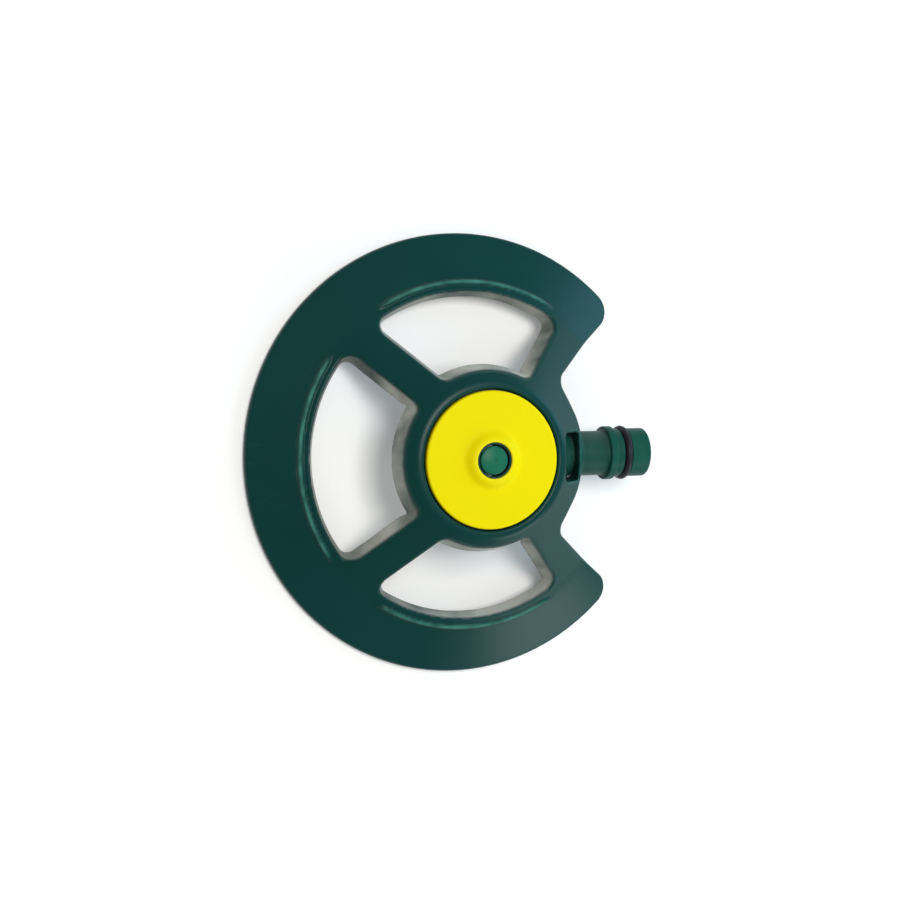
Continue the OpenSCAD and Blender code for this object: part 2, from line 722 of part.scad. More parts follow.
module lift_nut() {
    color([0.82, 0.83, 0.8]) translate([0, 0, nut_z]) difference() {
        union() {
            difference() {
                cylinder(r = nut_ring_r, h = nut_t);
                translate([0, 0, -1]) cylinder(r = nut_screw_circle - nut_screw_head_r, h = nut_t + 2);
            }
            cylinder(r = nut_hub_r, h = nut_t);
            for (a = nut_post_angles) rotate(a) translate([pin_thread_r + 0.5, -1.2, 0])
                cube([nut_screw_circle - pin_thread_r - 0.5, 2.4, nut_t]);
        }
        translate([0, 0, -1]) cylinder(r = pin_thread_r + run_fit, h = nut_t + 2);
        for (a = nut_post_angles) rotate(a) translate([nut_screw_circle, 0, -1])
            cylinder(r = nut_screw_r + seat_fit, h = nut_t + 2, $fn = 48);
    }
}

nut_screw_top = dial_under + 0.6;

module nut_screws() {
    color([0.7, 0.71, 0.72])
        for (a = nut_post_angles) rotate(a) translate([nut_screw_circle, 0, nut_z])
            pan_screw(nut_screw_r, nut_screw_head_r, nut_screw_head_h, nut_screw_top - nut_z, 0.4);
}

// Lug under the dial that meets the stop rib at both ends of the turn
module stop_lug() {
    rotate(lug_start) rotate_extrude(angle = lug_arc)
        translate([stop_in, floor_z + 0.8]) square([stop_out - stop_in, dial_space - 0.8 + dial_t / 2]);
}

module spray_dial() {
    rim_lip = 1;
    shoulder_z = floor_z + free_gap;
    groove_top = retainer_z + retainer_t + 2 * groove_play;
    step_z = dial_under + 1.1;
    color([0.95, 0.88, 0.02]) difference() {
        union() {
            rotate_extrude() polygon([
                [dial_hole_r + orifice_lip, dial_under], [skirt_bore, dial_under], [skirt_bore, skirt_z],
                [skirt_r - soft / 2, skirt_z], [skirt_r, skirt_z + soft / 2], [skirt_r, retainer_z],
                [dial_groove_r, retainer_z], [dial_groove_r, groove_top], [skirt_r, groove_top],
                [skirt_r, shoulder_z], [shoulder_ring_r, shoulder_z], [shoulder_ring_r, dial_under],
                [dial_r - rim_lip, dial_under], [dial_r - rim_lip, dial_under - rim_lip],
                [dial_r, dial_under - rim_lip], [dial_r, dial_rim_z - soft],
                [dial_r - soft * 0.3, dial_rim_z - soft * 0.3],
                [dial_r - soft, dial_rim_z], [boss_foot_r, dial_foot_z], [boss_crest_r, crest_z - 0.2],
                [boss_crest_r - 0.25, crest_z], [dial_hole_r + 0.35, crest_z], [dial_hole_r, crest_z - 0.3],
                [dial_hole_r, step_z], [dial_hole_r + orifice_lip, step_z]
            ]);
            stop_lug();
            for (a = nut_post_angles) rotate(a) translate([nut_screw_circle, 0, nut_top])
                cylinder(r = post_r, h = dial_under - nut_top + dial_t / 2, $fn = 48);
        }
        for (a = nut_post_angles) rotate(a) translate([nut_screw_circle, 0, nut_top - 1])
            cylinder(r = nut_screw_r + seat_fit, h = nut_screw_top - nut_top + 1.2, $fn = 48);
    }
}

module orifice_ring() {
    out = dial_hole_r - seat_fit;
    color([0.08, 0.16, 0.14]) rotate_extrude() polygon([
        [orifice_r, dial_under], [out + orifice_lip, dial_under], [out + orifice_lip, dial_under + 1],
        [out, dial_under + 1], [out, crest_z - 0.4], [orifice_r, crest_z - 0.4]
    ]);
}

module dial_seal() {
    color([0.05, 0.05, 0.05]) translate([0, 0, dial_seal_z]) cord_ring(dial_seal_r, dial_seal_cord);
}

module slip_washer() {
    color([0.9, 0.9, 0.88]) washer(floor_hole + 0.1, retainer_r + 0.1, washer_z, washer_t);
}

module retaining_ring() {
    color([0.78, 0.79, 0.8])
        open_ring(
            dial_groove_r + seat_fit, retainer_r, retainer_z + groove_play, retainer_t,
            retainer_mouth, retainer_mouth_a
        );
}

base_shell();
hose_spigot();
spigot_o_ring();
inlet_filter();
socket_seal();
spigot_clip();
water_tower();
tower_screws();
bottom_plug();
plug_seal();
flow_guide();
nozzle_pin();
pin_clip();
lift_nut();
nut_screws();
spray_dial();
orifice_ring();
dial_seal();
slip_washer();
retaining_ring();
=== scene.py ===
"""Looks of a pyramid sprinkler: a cone-shaped wheel base, a snap-in hose spigot and a turnable spray dial.

Sizes are in millimetres and are turned to metres where a mesh is made. A solid is a distance field:
a function of x along the hose axis, y to the left of it and the height z that is negative inside.
"""

from __future__ import annotations

import json
import logging
import math
from dataclasses import dataclass
from enum import Enum
from functools import partial, reduce
from typing import Callable, Iterable, Sequence

import bpy
import numpy as np
from mathutils import Matrix, Vector

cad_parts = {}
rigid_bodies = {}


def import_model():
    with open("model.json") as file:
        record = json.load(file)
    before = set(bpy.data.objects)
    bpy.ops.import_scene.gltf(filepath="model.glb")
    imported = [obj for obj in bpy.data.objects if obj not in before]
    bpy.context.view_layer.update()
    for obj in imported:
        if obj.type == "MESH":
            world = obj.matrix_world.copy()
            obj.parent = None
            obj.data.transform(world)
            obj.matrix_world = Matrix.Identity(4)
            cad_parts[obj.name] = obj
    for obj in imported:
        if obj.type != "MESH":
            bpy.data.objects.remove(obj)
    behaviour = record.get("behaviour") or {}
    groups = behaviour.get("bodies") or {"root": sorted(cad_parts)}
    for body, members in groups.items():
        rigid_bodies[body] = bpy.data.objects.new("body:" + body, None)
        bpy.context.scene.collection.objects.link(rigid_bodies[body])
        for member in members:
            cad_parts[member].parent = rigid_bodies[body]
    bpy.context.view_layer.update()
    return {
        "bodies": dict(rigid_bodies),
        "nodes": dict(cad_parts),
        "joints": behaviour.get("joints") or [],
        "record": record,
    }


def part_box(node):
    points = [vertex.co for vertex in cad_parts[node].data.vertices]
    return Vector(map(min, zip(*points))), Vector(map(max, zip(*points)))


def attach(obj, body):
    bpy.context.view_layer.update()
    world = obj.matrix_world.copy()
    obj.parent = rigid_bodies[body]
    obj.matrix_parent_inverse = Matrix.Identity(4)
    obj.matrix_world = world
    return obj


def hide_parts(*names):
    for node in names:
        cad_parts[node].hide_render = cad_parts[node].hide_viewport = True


LOG = logging.getLogger("sprinkler")
MM = 0.001
TINY = 1e-6
PHOTO_SIDE = 900
Array = np.ndarray
Field = Callable[[Array, Array, Array], Array]
Colour = tuple[float, float, float]
Spot = tuple[float, float]


class Body(Enum):
    """Bodies of the frame that a piece can ride on."""

    BASE = "base"
    DIAL = "dial"
    PIN = "pin"


class Axis(Enum):
    """Axes that a turned piece can be round about."""

    UP = "up"
    HOSE = "hose"


def join(a: Array, b: Array, blend: float = 0.0) -> Array:
    """Distance to two solids joined, with a fillet where they meet.

    Args:
        a: Distance to the first solid, negative inside it.
        b: Distance to the second solid.
        blend: Radius of the fillet.

    Returns:
        Distance to the joined solid.
    """
    if blend == 0:
        return np.minimum(a, b)
    corner = np.hypot(np.maximum(blend - a, 0), np.maximum(blend - b, 0))
    return np.maximum(blend, np.minimum(a, b)) - corner


def keep(a: Array, b: Array, rounding: float = 0.0) -> Array:
    """Distance to what two solids share, with a rounded edge where their faces cross.

    Args:
        a: Distance to the first solid, negative inside it.
        b: Distance to the second solid.
        rounding: Radius of the rounded edge.

    Returns:
        Distance to the shared solid.
    """
    if rounding == 0:
        return np.maximum(a, b)
    corner = np.hypot(np.maximum(rounding + a, 0), np.maximum(rounding + b, 0))
    return np.minimum(-rounding, np.maximum(a, b)) + corner


def cut(a: Array, b: Array, rounding: float = 0.0) -> Array:
    """Distance to the first solid less the second, with rounded edges round the cut."""
    return keep(a, -b, rounding)


def merge(a: Array, b: Array, reach: float) -> Array:
    """Distance to two faces that meet at a flat angle, with the crease between them smoothed."""
    return np.minimum(a, b) - np.maximum(reach - np.abs(a - b), 0) ** 2 / (4 * reach)


def between(a: Array, low: float, high: float) -> Array:
    """Distance to a slab of a coordinate, from its low end to its high end."""
    return np.maximum(low - a, a - high)


def under_line(along: Array, up: Array, start: Spot, end: Spot) -> Array:
    """Distance to what lies under a slanted line, such as the side of a cone.

    Args:
        along: Coordinate along the slope, such as the distance from an axis.
        up: Coordinate across it, such as the height.
        start: Both coordinates of the line's first end, the one further along.
        end: Both coordinates of its other end.

    Returns:
        Distance to the space under the line, negative inside it.
    """
    slope = (end[1] - start[1]) / (start[0] - end[0])
    return (up - start[1] - slope * (start[0] - along)) / math.hypot(1, slope)


def ball_cap(r: Array, up: Array, half: float, rise: float) -> Array:
    """Distance to a ball with its crown at height 0, whose cap has this half width and rise."""
    ball = (half**2 + rise**2) / (2 * rise)
    return np.sqrt(r**2 + (up + ball) ** 2) - ball


def direction(degrees: float) -> Spot:
    """Unit vector in plan at an angle from the hose axis."""
    return math.cos(math.radians(degrees)), math.sin(math.radians(degrees))


def turned_from(x: Array, y: Array, degrees: float) -> Array:
    """Angle in radians between places in plan and a direction, never negative."""
    off = np.arctan2(y, x) - math.radians(degrees)
    return np.abs((off + math.pi) % (2 * math.pi) - math.pi)


@dataclass
class Skin:
    """A closed surface in millimetres, with a normal and two wear values at each point.

    rub is 1 on edges that hands and ground rub, and soil is 1 in corners that hold dust. On the base,
    rub also marks a painted highlight along the beads, and soil a painted reflection of the floor on the
    walls of the windows.
    """

    points: Array
    faces: list[tuple[int, ...]]
    normals: Array
    rub_and_sheen: Array
    soil_and_sheen: Array


@dataclass(frozen=True)
class Mould:
    """Turns a distance field into a skin of small quads that lie on its surface.

    pitch is the width of a quad, feel is how far from the surface wear is looked for and gain how
    strongly it shows, margin is the spare space round the solid in quads, and least is the slope
    below which a point moves less.
    """

    pitch: float
    feel: float = 0.8
    gain: float = 2.0
    passes: int = 3
    step: float = 0.02
    margin: float = 1.5
    least: float = 0.5

    def gradient(self, field: Field, p: Array) -> Array:
        """Slope of a field at some points.

        Args:
            field: Distance field of the solid.
            p: The points, one a row.

        Returns:
            The slope at each point, one a row.
        """
        slope = np.empty_like(p)
        for axis in range(3):
            off = np.zeros(3)
            off[axis] = self.step
            slope[:, axis] = field(*(p + off).T) - field(*(p - off).T)
        return slope / (2 * self.step)

    def settle(self, field: Field, p: Array) -> Array:
        """Moves points along the slope onto the surface of a field.

        Args:
            field: Distance field of the solid.
            p: The points, one a row.

        Returns:
            The moved points.
        """
        slope = self.gradient(field, p)
        size = np.maximum((slope**2).sum(1), self.least**2)
        move = field(*p.T)[:, None] * slope / size[:, None]
        return p - np.clip(move, -self.pitch / 2, self.pitch / 2)

    def cast(self, field: Field, low: Sequence[float], high: Sequence[float]) -> Skin:
        """Makes the skin of a solid.

        Args:
            field: Distance field of the solid.
            low: Lowest corner of the solid's box.
            high: Highest corner of the solid's box.

        Returns:
            The skin, with its faces turned outwards.
        """
        spare = self.margin * self.pitch
        axes = [np.arange(a - spare, b + spare, self.pitch) for a, b in zip(low, high)]
        value = np.asarray(field(*np.ix_(*axes)), np.float32)
        inside = value < 0
        p, number = self.first_points(axes, value, inside)
        quads = self.quads(inside, number)
        for _ in range(self.passes):
            p = self.settle(field, self.relax(p, quads))
        p = self.settle(field, self.settle(field, p))
        slope = self.gradient(field, p)
        normals = slope / np.maximum(np.linalg.norm(slope, axis=1), TINY)[:, None]
        depth = field(*(p - self.feel * normals).T) + self.feel
        height = self.feel - field(*(p + self.feel * normals).T)
        rub_and_sheen, soil_and_sheen = (np.clip(v / self.feel * self.gain, 0, 1) for v in (depth, height))
        return Skin(p, quads.tolist(), normals, rub_and_sheen, soil_and_sheen)

    @staticmethod
    def first_points(axes: list[Array], value: Array, inside: Array) -> tuple[Array, Array]:
        """One point in each grid cell that the surface passes, at the mean of its crossings.

        Args:
            axes: Grid coordinates along each axis.
            value: Field at the grid points.
            inside: Whether each grid point is inside the solid.

        Returns:
            The points, and each cell's point number, or -1 for none.
        """
        corners = [(i, j, k) for i in (0, 1) for j in (0, 1) for k in (0, 1)]
        n = [s - 1 for s in value.shape]
        total = sum(inside[i : i + n[0], j : j + n[1], k : k + n[2]].astype(np.int8) for i, j, k in corners)
        cells = np.argwhere((total > 0) & (total < 8))
        number = np.full(n, -1, np.int64)
        number[tuple(cells.T)] = np.arange(len(cells))
        place = np.zeros((len(cells), 3))
        count = np.zeros(len(cells))
        for a in corners:
            for axis in range(3):
                if a[axis]:
                    continue
                b = tuple(c + (i == axis) for i, c in enumerate(a))
                va = value[tuple((cells + a).T)].astype(float)
                vb = value[tuple((cells + b).T)].astype(float)
                crossed = (va < 0) != (vb < 0)
                share = np.where(crossed, va / np.where(crossed, va - vb, 1), 0)
                at = cells + a + share[:, None] * np.eye(3)[axis]
                place += np.where(crossed[:, None], at, 0)
                count += crossed
        place /= count[:, None]
        pitch = axes[0][1] - axes[0][0]
        return place * pitch + [a[0] for a in axes], number

    @staticmethod
    def quads(inside: Array, number: Array) -> Array:
        """Joins the four cells round each grid edge that crosses the surface.

        Args:
            inside: Whether each grid point is inside the solid.
            number: Each cell's point number.

        Returns:
            Four point numbers a row, turned outwards.
        """
        found = []
        for axis in range(3):
            u, v = (axis + 1) % 3, (axis + 2) % 3
            size = list(inside.shape)
            size[axis] -= 1
            lower = inside[tuple(slice(0, s) for s in size)]
            shift = [slice(0, s) for s in size]
            shift[axis] = slice(1, size[axis] + 1)
            upper = inside[tuple(shift)]
            edges = np.argwhere(lower != upper)
            edges = edges[(edges[:, u] > 0) & (edges[:, v] > 0)]
            eu, ev = np.eye(3, dtype=int)[u], np.eye(3, dtype=int)[v]
            ring = np.stack([number[tuple((edges - o).T)] for o in (eu + ev, ev, 0 * eu, eu)], 1)
            outward = lower[tuple(edges.T)]
            found.append(np.where(outward[:, None], ring, ring[:, ::-1]))
        return np.concatenate(found)

    @staticmethod
    def relax(p: Array, quads: Array) -> Array:
        """Moves each point halfway to the middle of its neighbours.

        Args:
            p: The points, one a row.
            quads: Four point numbers a row.

        Returns:
            The moved points.
        """
        total, count = np.zeros_like(p), np.zeros(len(p))
        for a, b in ((0, 1), (1, 2), (2, 3), (3, 0)):
            for m, n in ((quads[:, a], quads[:, b]), (quads[:, b], quads[:, a])):
                for axis in range(3):
                    total[:, axis] += np.bincount(m, p[n, axis], len(p))
                count += np.bincount(m, minlength=len(p))
        return (p + total / count[:, None]) / 2


@dataclass(frozen=True)
class Lathe:
    """Turns an outline about an axis into a closed skin.

    turns is the number of segments round the axis, bend the degrees between fillet points, and
    share the most of a straight stretch that the fillet at one of its ends may take.
    """

    turns: int = 160
    bend: float = 18.0
    share: float = 0.48

    def rounded(self, corners: Sequence[tuple[float, float, float]], open_ends: bool) -> Array:
        """Rounds the corners of an outline.

        Args:
            corners: Radius, place along the axis and fillet radius of each corner, anticlockwise.
            open_ends: True where the first and last corners lie on the axis.

        Returns:
            Radius, place, two parts of the normal, rub and soil, one point a row.
        """
        c = np.array(corners, float)
        rows = []
        for i, (r, h, fillet) in enumerate(c):
            before, after = c[i - 1, :2], c[(i + 1) % len(c), :2]
            here = c[i, :2]
            if open_ends and i in (0, len(c) - 1):
                along = after - here if i == 0 else here - before
                along /= np.linalg.norm(along)
                rows.append([r, h, along[1], -along[0], 0, 0])
                continue
            d0, d1 = here - before, after - here
            l0, l1 = np.linalg.norm(d0), np.linalg.norm(d1)
            d0, d1 = d0 / l0, d1 / l1
            turn = math.atan2(d0[0] * d1[1] - d0[1] * d1[0], float(d0 @ d1))
            reach = min(fillet * math.tan(abs(turn) / 2), self.share * l0, self.share * l1)
            radius = reach / math.tan(abs(turn) / 2)
            side = math.copysign(1.0, turn)
            normal = np.array([d0[1], -d0[0]])
            centre = here - reach * d0 - side * radius * normal
            steps = max(2, math.ceil(abs(math.degrees(turn)) / self.bend))
            for k in range(steps + 1):
                a = turn * k / steps
                n = np.array([
                    normal[0] * math.cos(a) - normal[1] * math.sin(a),
                    normal[0] * math.sin(a) + normal[1] * math.cos(a),
                ])
                at = centre + side * radius * n
                rows.append([at[0], at[1], n[0], n[1], float(side > 0), float(side < 0)])
        return np.array(rows)

    def turn(self, rows: Array, axis: Axis, height: float, open_ends: bool) -> Skin:
        """Turns outline rows into a skin.

        Args:
            rows: The rows that rounded gives.
            axis: The axis of the turned piece.
            height: Height of the hose axis, for a piece on that axis.
            open_ends: True where the first and last rows lie on the axis.

        Returns:
            The skin, with its faces turned outwards.
        """
        n = self.turns
        a = np.arange(n) * 2 * math.pi / n
        last = len(rows) - 1
        points, normals, wear_and_sheen, ring = [], [], [], []
        for i, (r, h, nr, nh, rub_and_sheen, soil_and_sheen) in enumerate(rows):
            pole = open_ends and i in (0, last)
            spread = np.zeros(1) if pole else a
            ring.append(np.arange(len(spread)) + (ring[-1][-1] + 1 if ring else 0))
            cos, sin = np.cos(spread), np.sin(spread)
            flat = 0.0 if pole else nr
            points.append(np.stack([r * cos, r * sin, np.full(len(cos), h)], 1))
            normals.append(np.stack([flat * cos, flat * sin, np.full(len(cos), nh)], 1))
            wear_and_sheen.append(np.tile([rub_and_sheen, soil_and_sheen], (len(cos), 1)))
        faces: list[tuple[int, ...]] = []
        pairs = range(last) if open_ends else range(last + 1)
        for i in pairs:
            low, high = ring[i], ring[(i + 1) % len(ring)]
            for j in range(n):
                k = (j + 1) % n
                if len(low) == 1:
                    faces.append((int(low[0]), int(high[k]), int(high[j])))
                elif len(high) == 1:
                    faces.append((int(low[j]), int(low[k]), int(high[0])))
                else:
                    faces.append((int(low[j]), int(low[k]), int(high[k]), int(high[j])))
        p, q, w = np.concatenate(points), np.concatenate(normals), np.concatenate(wear_and_sheen)
        if axis is Axis.HOSE:
            p, q = p[:, [2, 0, 1]] + [0, 0, height], q[:, [2, 0, 1]]
        return Skin(p, faces, q, w[:, 0], w[:, 1])

    def cord(self, radius: float, middle: float, thickness: float) -> Array:
        """Rows of a round cord bent into a ring.

        Args:
            radius: Radius of the ring's middle line.
            middle: Place of the ring along its axis.
            thickness: Radius of the cord.

        Returns:
            The rows, as rounded gives them.
        """
        a = np.radians(np.arange(0, 360, 2 * self.bend))
        n = np.stack([np.cos(a), np.sin(a)], 1)
        wear_and_sheen = np.zeros((len(a), 2))
        return np.hstack([[radius, middle] + thickness * n, n, wear_and_sheen])


def mesh_of(name: str, skin: Skin) -> bpy.types.Mesh:
    """Makes a mesh from a skin, with its wear and painted light as attributes.

    Args:
        name: Name of the mesh.
        skin: The surface, in millimetres.

    Returns:
        The new mesh, smooth and in metres.
    """
    mesh = bpy.data.meshes.new(name)
    mesh.from_pydata((skin.points * MM).tolist(), [], skin.faces)
    for key, values in (("rub_and_sheen", skin.rub_and_sheen), ("soil_and_sheen", skin.soil_and_sheen)):
        layer = mesh.attributes.new(key, "FLOAT", "POINT")
        layer.data.foreach_set("value", np.asarray(values, np.float32))
    mesh.shade_smooth()
    return mesh


def set_down(name: str, data: bpy.types.ID) -> bpy.types.Object:
    """Makes an object from a mesh, a lamp or a camera and links it to the scene.

    Args:
        name: Name of the object.
        data: What it shows.

    Returns:
        The new object.
    """
    made = bpy.data.objects.new(name, data)
    bpy.context.scene.collection.objects.link(made)
    return made


class Wiring:
    """Places and joins the nodes of one shader or geometry tree."""

    def __init__(self, tree: bpy.types.NodeTree) -> None:
        """Keeps the tree that the nodes go into."""
        self.tree = tree

    @classmethod
    def afresh(cls, owner: bpy.types.Material | bpy.types.World) -> Wiring:
        """Empties the tree of a material or a world.

        Args:
            owner: The material or the world.

        Returns:
            The wiring of its tree.
        """
        owner.use_nodes = True
        owner.node_tree.nodes.clear()
        return cls(owner.node_tree)

    def add(self, kind: str, inputs: dict | None = None, **settings: object) -> bpy.types.Node:
        """Adds a node.

        Args:
            kind: The node's type.
            inputs: Socket name or number to a value, or to an output socket to link.
            **settings: Other properties of the node.

        Returns:
            The new node.
        """
        node = self.tree.nodes.new(kind)
        for key, value in settings.items():
            setattr(node, key, value)
        for key, value in (inputs or {}).items():
            socket = node.inputs[key]
            if isinstance(value, bpy.types.NodeSocket):
                self.tree.links.new(value, socket)
            else:
                socket.default_value = value
        return node

    def maths(self, operation: str, *values: object, clamp: bool = False) -> bpy.types.NodeSocket:
        """Adds a maths node and gives its output."""
        inputs = dict(enumerate(values))
        return self.add("ShaderNodeMath", inputs, operation=operation, use_clamp=clamp).outputs[0]

    def mask(self, value: object, gain: float, floor: float) -> bpy.types.NodeSocket:
        """Stretches a value by the gain, less the floor, and holds it between 0 and 1."""
        return self.maths("SUBTRACT", self.maths("MULTIPLY", value, gain), floor, clamp=True)

    def mix(self, share: object, a: object, b: object) -> bpy.types.NodeSocket:
        """Adds a colour mix and gives its output."""
        ends = {key: (*v, 1.0) if isinstance(v, tuple) else v for key, v in ((6, a), (7, b))}
        return self.add("ShaderNodeMix", {0: share, **ends}, data_type="RGBA").outputs[2]

    def noise(self, vector: object, scale: object, detail: float = 3.0) -> bpy.types.NodeSocket:
        """Adds a noise texture and gives its value."""
        inputs = {"Vector": vector, "Scale": scale, "Detail": detail}
        return self.add("ShaderNodeTexNoise", inputs).outputs["Fac"]


class Effects:
    """Shader node groups that several finishes share."""

    def __init__(self) -> None:
        """Builds the groups once."""
        self.surface = self._surface()
        self.wear_and_sheen = self._wear_and_sheen()
        self.scuffs = self._scuffs()

    @staticmethod
    def _group(name: str, inputs: dict[str, float | None], outputs: Iterable[str]) -> tuple:
        """Makes an empty group.

        Args:
            name: Name of the group.
            inputs: Name of each input to its first value, or None for a vector.
            outputs: Names of the outputs.

        Returns:
            The wiring of the group, and the sockets of its input node.
        """
        tree = bpy.data.node_groups.new(name, "ShaderNodeTree")
        for key, value in inputs.items():
            kind = "NodeSocketVector" if value is None else "NodeSocketFloat"
            socket = tree.interface.new_socket(key, in_out="INPUT", socket_type=kind)
            if value is not None:
                socket.default_value = value
        for key in outputs:
            tree.interface.new_socket(key, in_out="OUTPUT", socket_type="NodeSocketFloat")
        w = Wiring(tree)
        return w, w.add("NodeGroupInput").outputs

    def _surface(self) -> bpy.types.NodeTree:
        """Height and tone of a moulded or cast surface: fine grain over slow waves.

        Returns:
            The group.
        """
        inputs = {"Vector": None, "Grain": 900.0, "Waves": 60.0, "Tone": 25.0}
        wave_height = 2.5
        w, given = self._group("moulded_surface", inputs, ("Height", "Tone"))
        grain = w.noise(given["Vector"], given["Grain"], detail=4.0)
        waves = w.noise(given["Vector"], given["Waves"], detail=1.5)
        tone = w.noise(given["Vector"], given["Tone"])
        height = w.maths("ADD", grain, w.maths("MULTIPLY", waves, wave_height))
        w.add("NodeGroupOutput", {"Height": height, "Tone": tone})
        return w.tree

    def _wear_and_sheen(self) -> bpy.types.NodeTree:
        """Broken-up masks of rubbed edges and dusty corners, which on the base also carry a painted
        highlight and a painted reflection.

        Returns:
            The group.
        """
        inputs = {"Vector": None, "Rub_and_sheen": 0.0, "Soil_and_sheen": 0.0, "Breakup": 180.0}
        slower = 0.3
        w, given = self._group("rub_dust_and_sheen", inputs, ("Rubbed_and_sheen", "Dusty_and_sheen"))
        patches = w.mask(w.noise(given["Vector"], given["Breakup"], detail=5.0), gain=2.2, floor=0.45)
        rubbed_and_sheen = w.maths("MULTIPLY", given["Rub_and_sheen"], patches, clamp=True)
        slow = w.noise(given["Vector"], w.maths("MULTIPLY", given["Breakup"], slower), detail=4.0)
        dusty_and_sheen = w.maths("MULTIPLY", given["Soil_and_sheen"], w.mask(slow, gain=3.0, floor=0.9), clamp=True)
        w.add("NodeGroupOutput", {"Rubbed_and_sheen": rubbed_and_sheen, "Dusty_and_sheen": dusty_and_sheen})
        return w.tree

    def _scuffs(self) -> bpy.types.NodeTree:
        """Mask of thin scuff lines in two directions, faint and far apart.

        Returns:
            The group.
        """
        inputs = {"Vector": None, "Scale": 40.0, "Width": 0.03}
        stretch, middle, sparser = 9.0, 0.5, 0.9
        w, given = self._group("fine_scuffs", inputs, ("Mask",))
        lines = []
        for turn, shift in ((0.5, 3.1), (2.1, 7.7)):
            turned = w.add("ShaderNodeMapping", {
                "Vector": given["Vector"], "Location": (shift, 0, 0),
                "Rotation": (0, 0, turn), "Scale": (1.0, stretch, 1.0),
            }).outputs[0]
            value = w.noise(turned, given["Scale"], detail=1.0)
            off = w.maths("ABSOLUTE", w.maths("SUBTRACT", value, middle))
            line = w.maths("SUBTRACT", 1.0, w.maths("DIVIDE", off, given["Width"]), clamp=True)
            patch = w.noise(given["Vector"], w.maths("MULTIPLY", given["Scale"], sparser), detail=2.0)
            lines.append(w.maths("MULTIPLY", line, w.mask(patch, gain=6.0, floor=3.6)))
        w.add("NodeGroupOutput", {"Mask": w.maths("MAXIMUM", *lines)})
        return w.tree


@dataclass(frozen=True)
class Finish:
    """A surface finish, built into one procedural material.

    colour is the plain tone and deep the darker tone that it drifts to. The worn tone is that of rubbed
    edges and the dusty tone that of its dust; on the base the worn tone also paints a highlight along
    the beads, and the dusty tone a pale reflection of the floor on the walls of the windows. grain, waves
    and tone are texture scales per metre, and the fields that end in _rough are how much rougher wear,
    dust, scuffs and the painted light on the base make the surface.
    """

    name: str
    colour: Colour
    deep: Colour
    worn_and_sheen: Colour
    dusty_and_sheen: Colour = (0.32, 0.31, 0.27)
    roughness: float = 0.35
    spread: float = 0.08
    metallic: float = 0.0
    grain: float = 900.0
    waves: float = 60.0
    tone: float = 25.0
    bump: float = 0.1
    depth: float = 0.00004
    rub_and_sheen: float = 0.4
    dust_and_sheen: float = 0.3
    scuff: float = 0.15
    scuff_tone: float = 0.5
    gloss: float = 0.3
    rub_and_sheen_rough: float = 0.25
    dust_and_sheen_rough: float = 0.4
    scuff_rough: float = 0.3

    def build(self, effects: Effects) -> bpy.types.Material:
        """Builds the material.

        Args:
            effects: The shared shader groups.

        Returns:
            The new material.
        """
        material = bpy.data.materials.new(self.name)
        w = Wiring.afresh(material)
        vector = w.add("ShaderNodeTexCoord").outputs["Object"]
        surface = w.add("ShaderNodeGroup", {
            "Vector": vector, "Grain": self.grain, "Waves": self.waves, "Tone": self.tone,
        }, node_tree=effects.surface).outputs
        rub_and_sheen, soil_and_sheen = (
            w.add("ShaderNodeAttribute", attribute_name=key).outputs["Fac"] for key in ("rub_and_sheen", "soil_and_sheen")
        )
        inputs = {"Vector": vector, "Rub_and_sheen": rub_and_sheen, "Soil_and_sheen": soil_and_sheen}
        wear_and_sheen = w.add("ShaderNodeGroup", inputs, node_tree=effects.wear_and_sheen).outputs
        scuffs = w.add("ShaderNodeGroup", {"Vector": vector}, node_tree=effects.scuffs).outputs
        # On the base, these masks also lay the painted highlight on the beads and the painted reflection on
        # the window walls.
        worn_and_sheen = w.maths("MULTIPLY", wear_and_sheen["Rubbed_and_sheen"], self.rub_and_sheen)
        dusty_and_sheen = w.maths("MULTIPLY", wear_and_sheen["Dusty_and_sheen"], self.dust_and_sheen)
        scuffed = w.maths("MULTIPLY", scuffs["Mask"], self.scuff)
        bright = w.maths("MAXIMUM", worn_and_sheen, w.maths("MULTIPLY", scuffed, self.scuff_tone))
        colour = w.mix(surface["Tone"], self.deep, self.colour)
        colour = w.mix(dusty_and_sheen, w.mix(bright, colour, self.worn_and_sheen), self.dusty_and_sheen)
        rough = w.maths("MULTIPLY_ADD", surface["Tone"], self.spread, self.roughness)
        rough = w.maths("MULTIPLY_ADD", worn_and_sheen, self.rub_and_sheen_rough, rough)
        rough = w.maths("MULTIPLY_ADD", dusty_and_sheen, self.dust_and_sheen_rough, rough)
        rough = w.maths("ADD", rough, w.maths("MULTIPLY", scuffed, self.scuff_rough), clamp=True)
        normal = w.add("ShaderNodeBump", {
            "Height": surface["Height"], "Strength": self.bump, "Distance": self.depth,
        }).outputs[0]
        shader = w.add("ShaderNodeBsdfPrincipled", {
            "Base Color": colour, "Roughness": rough, "Normal": normal, "Metallic": self.metallic,
            "Specular IOR Level": self.gloss,
        })
        w.add("ShaderNodeOutputMaterial", {"Surface": shader.outputs[0]})
        material.diffuse_color = (*self.colour, 1.0)
        return material


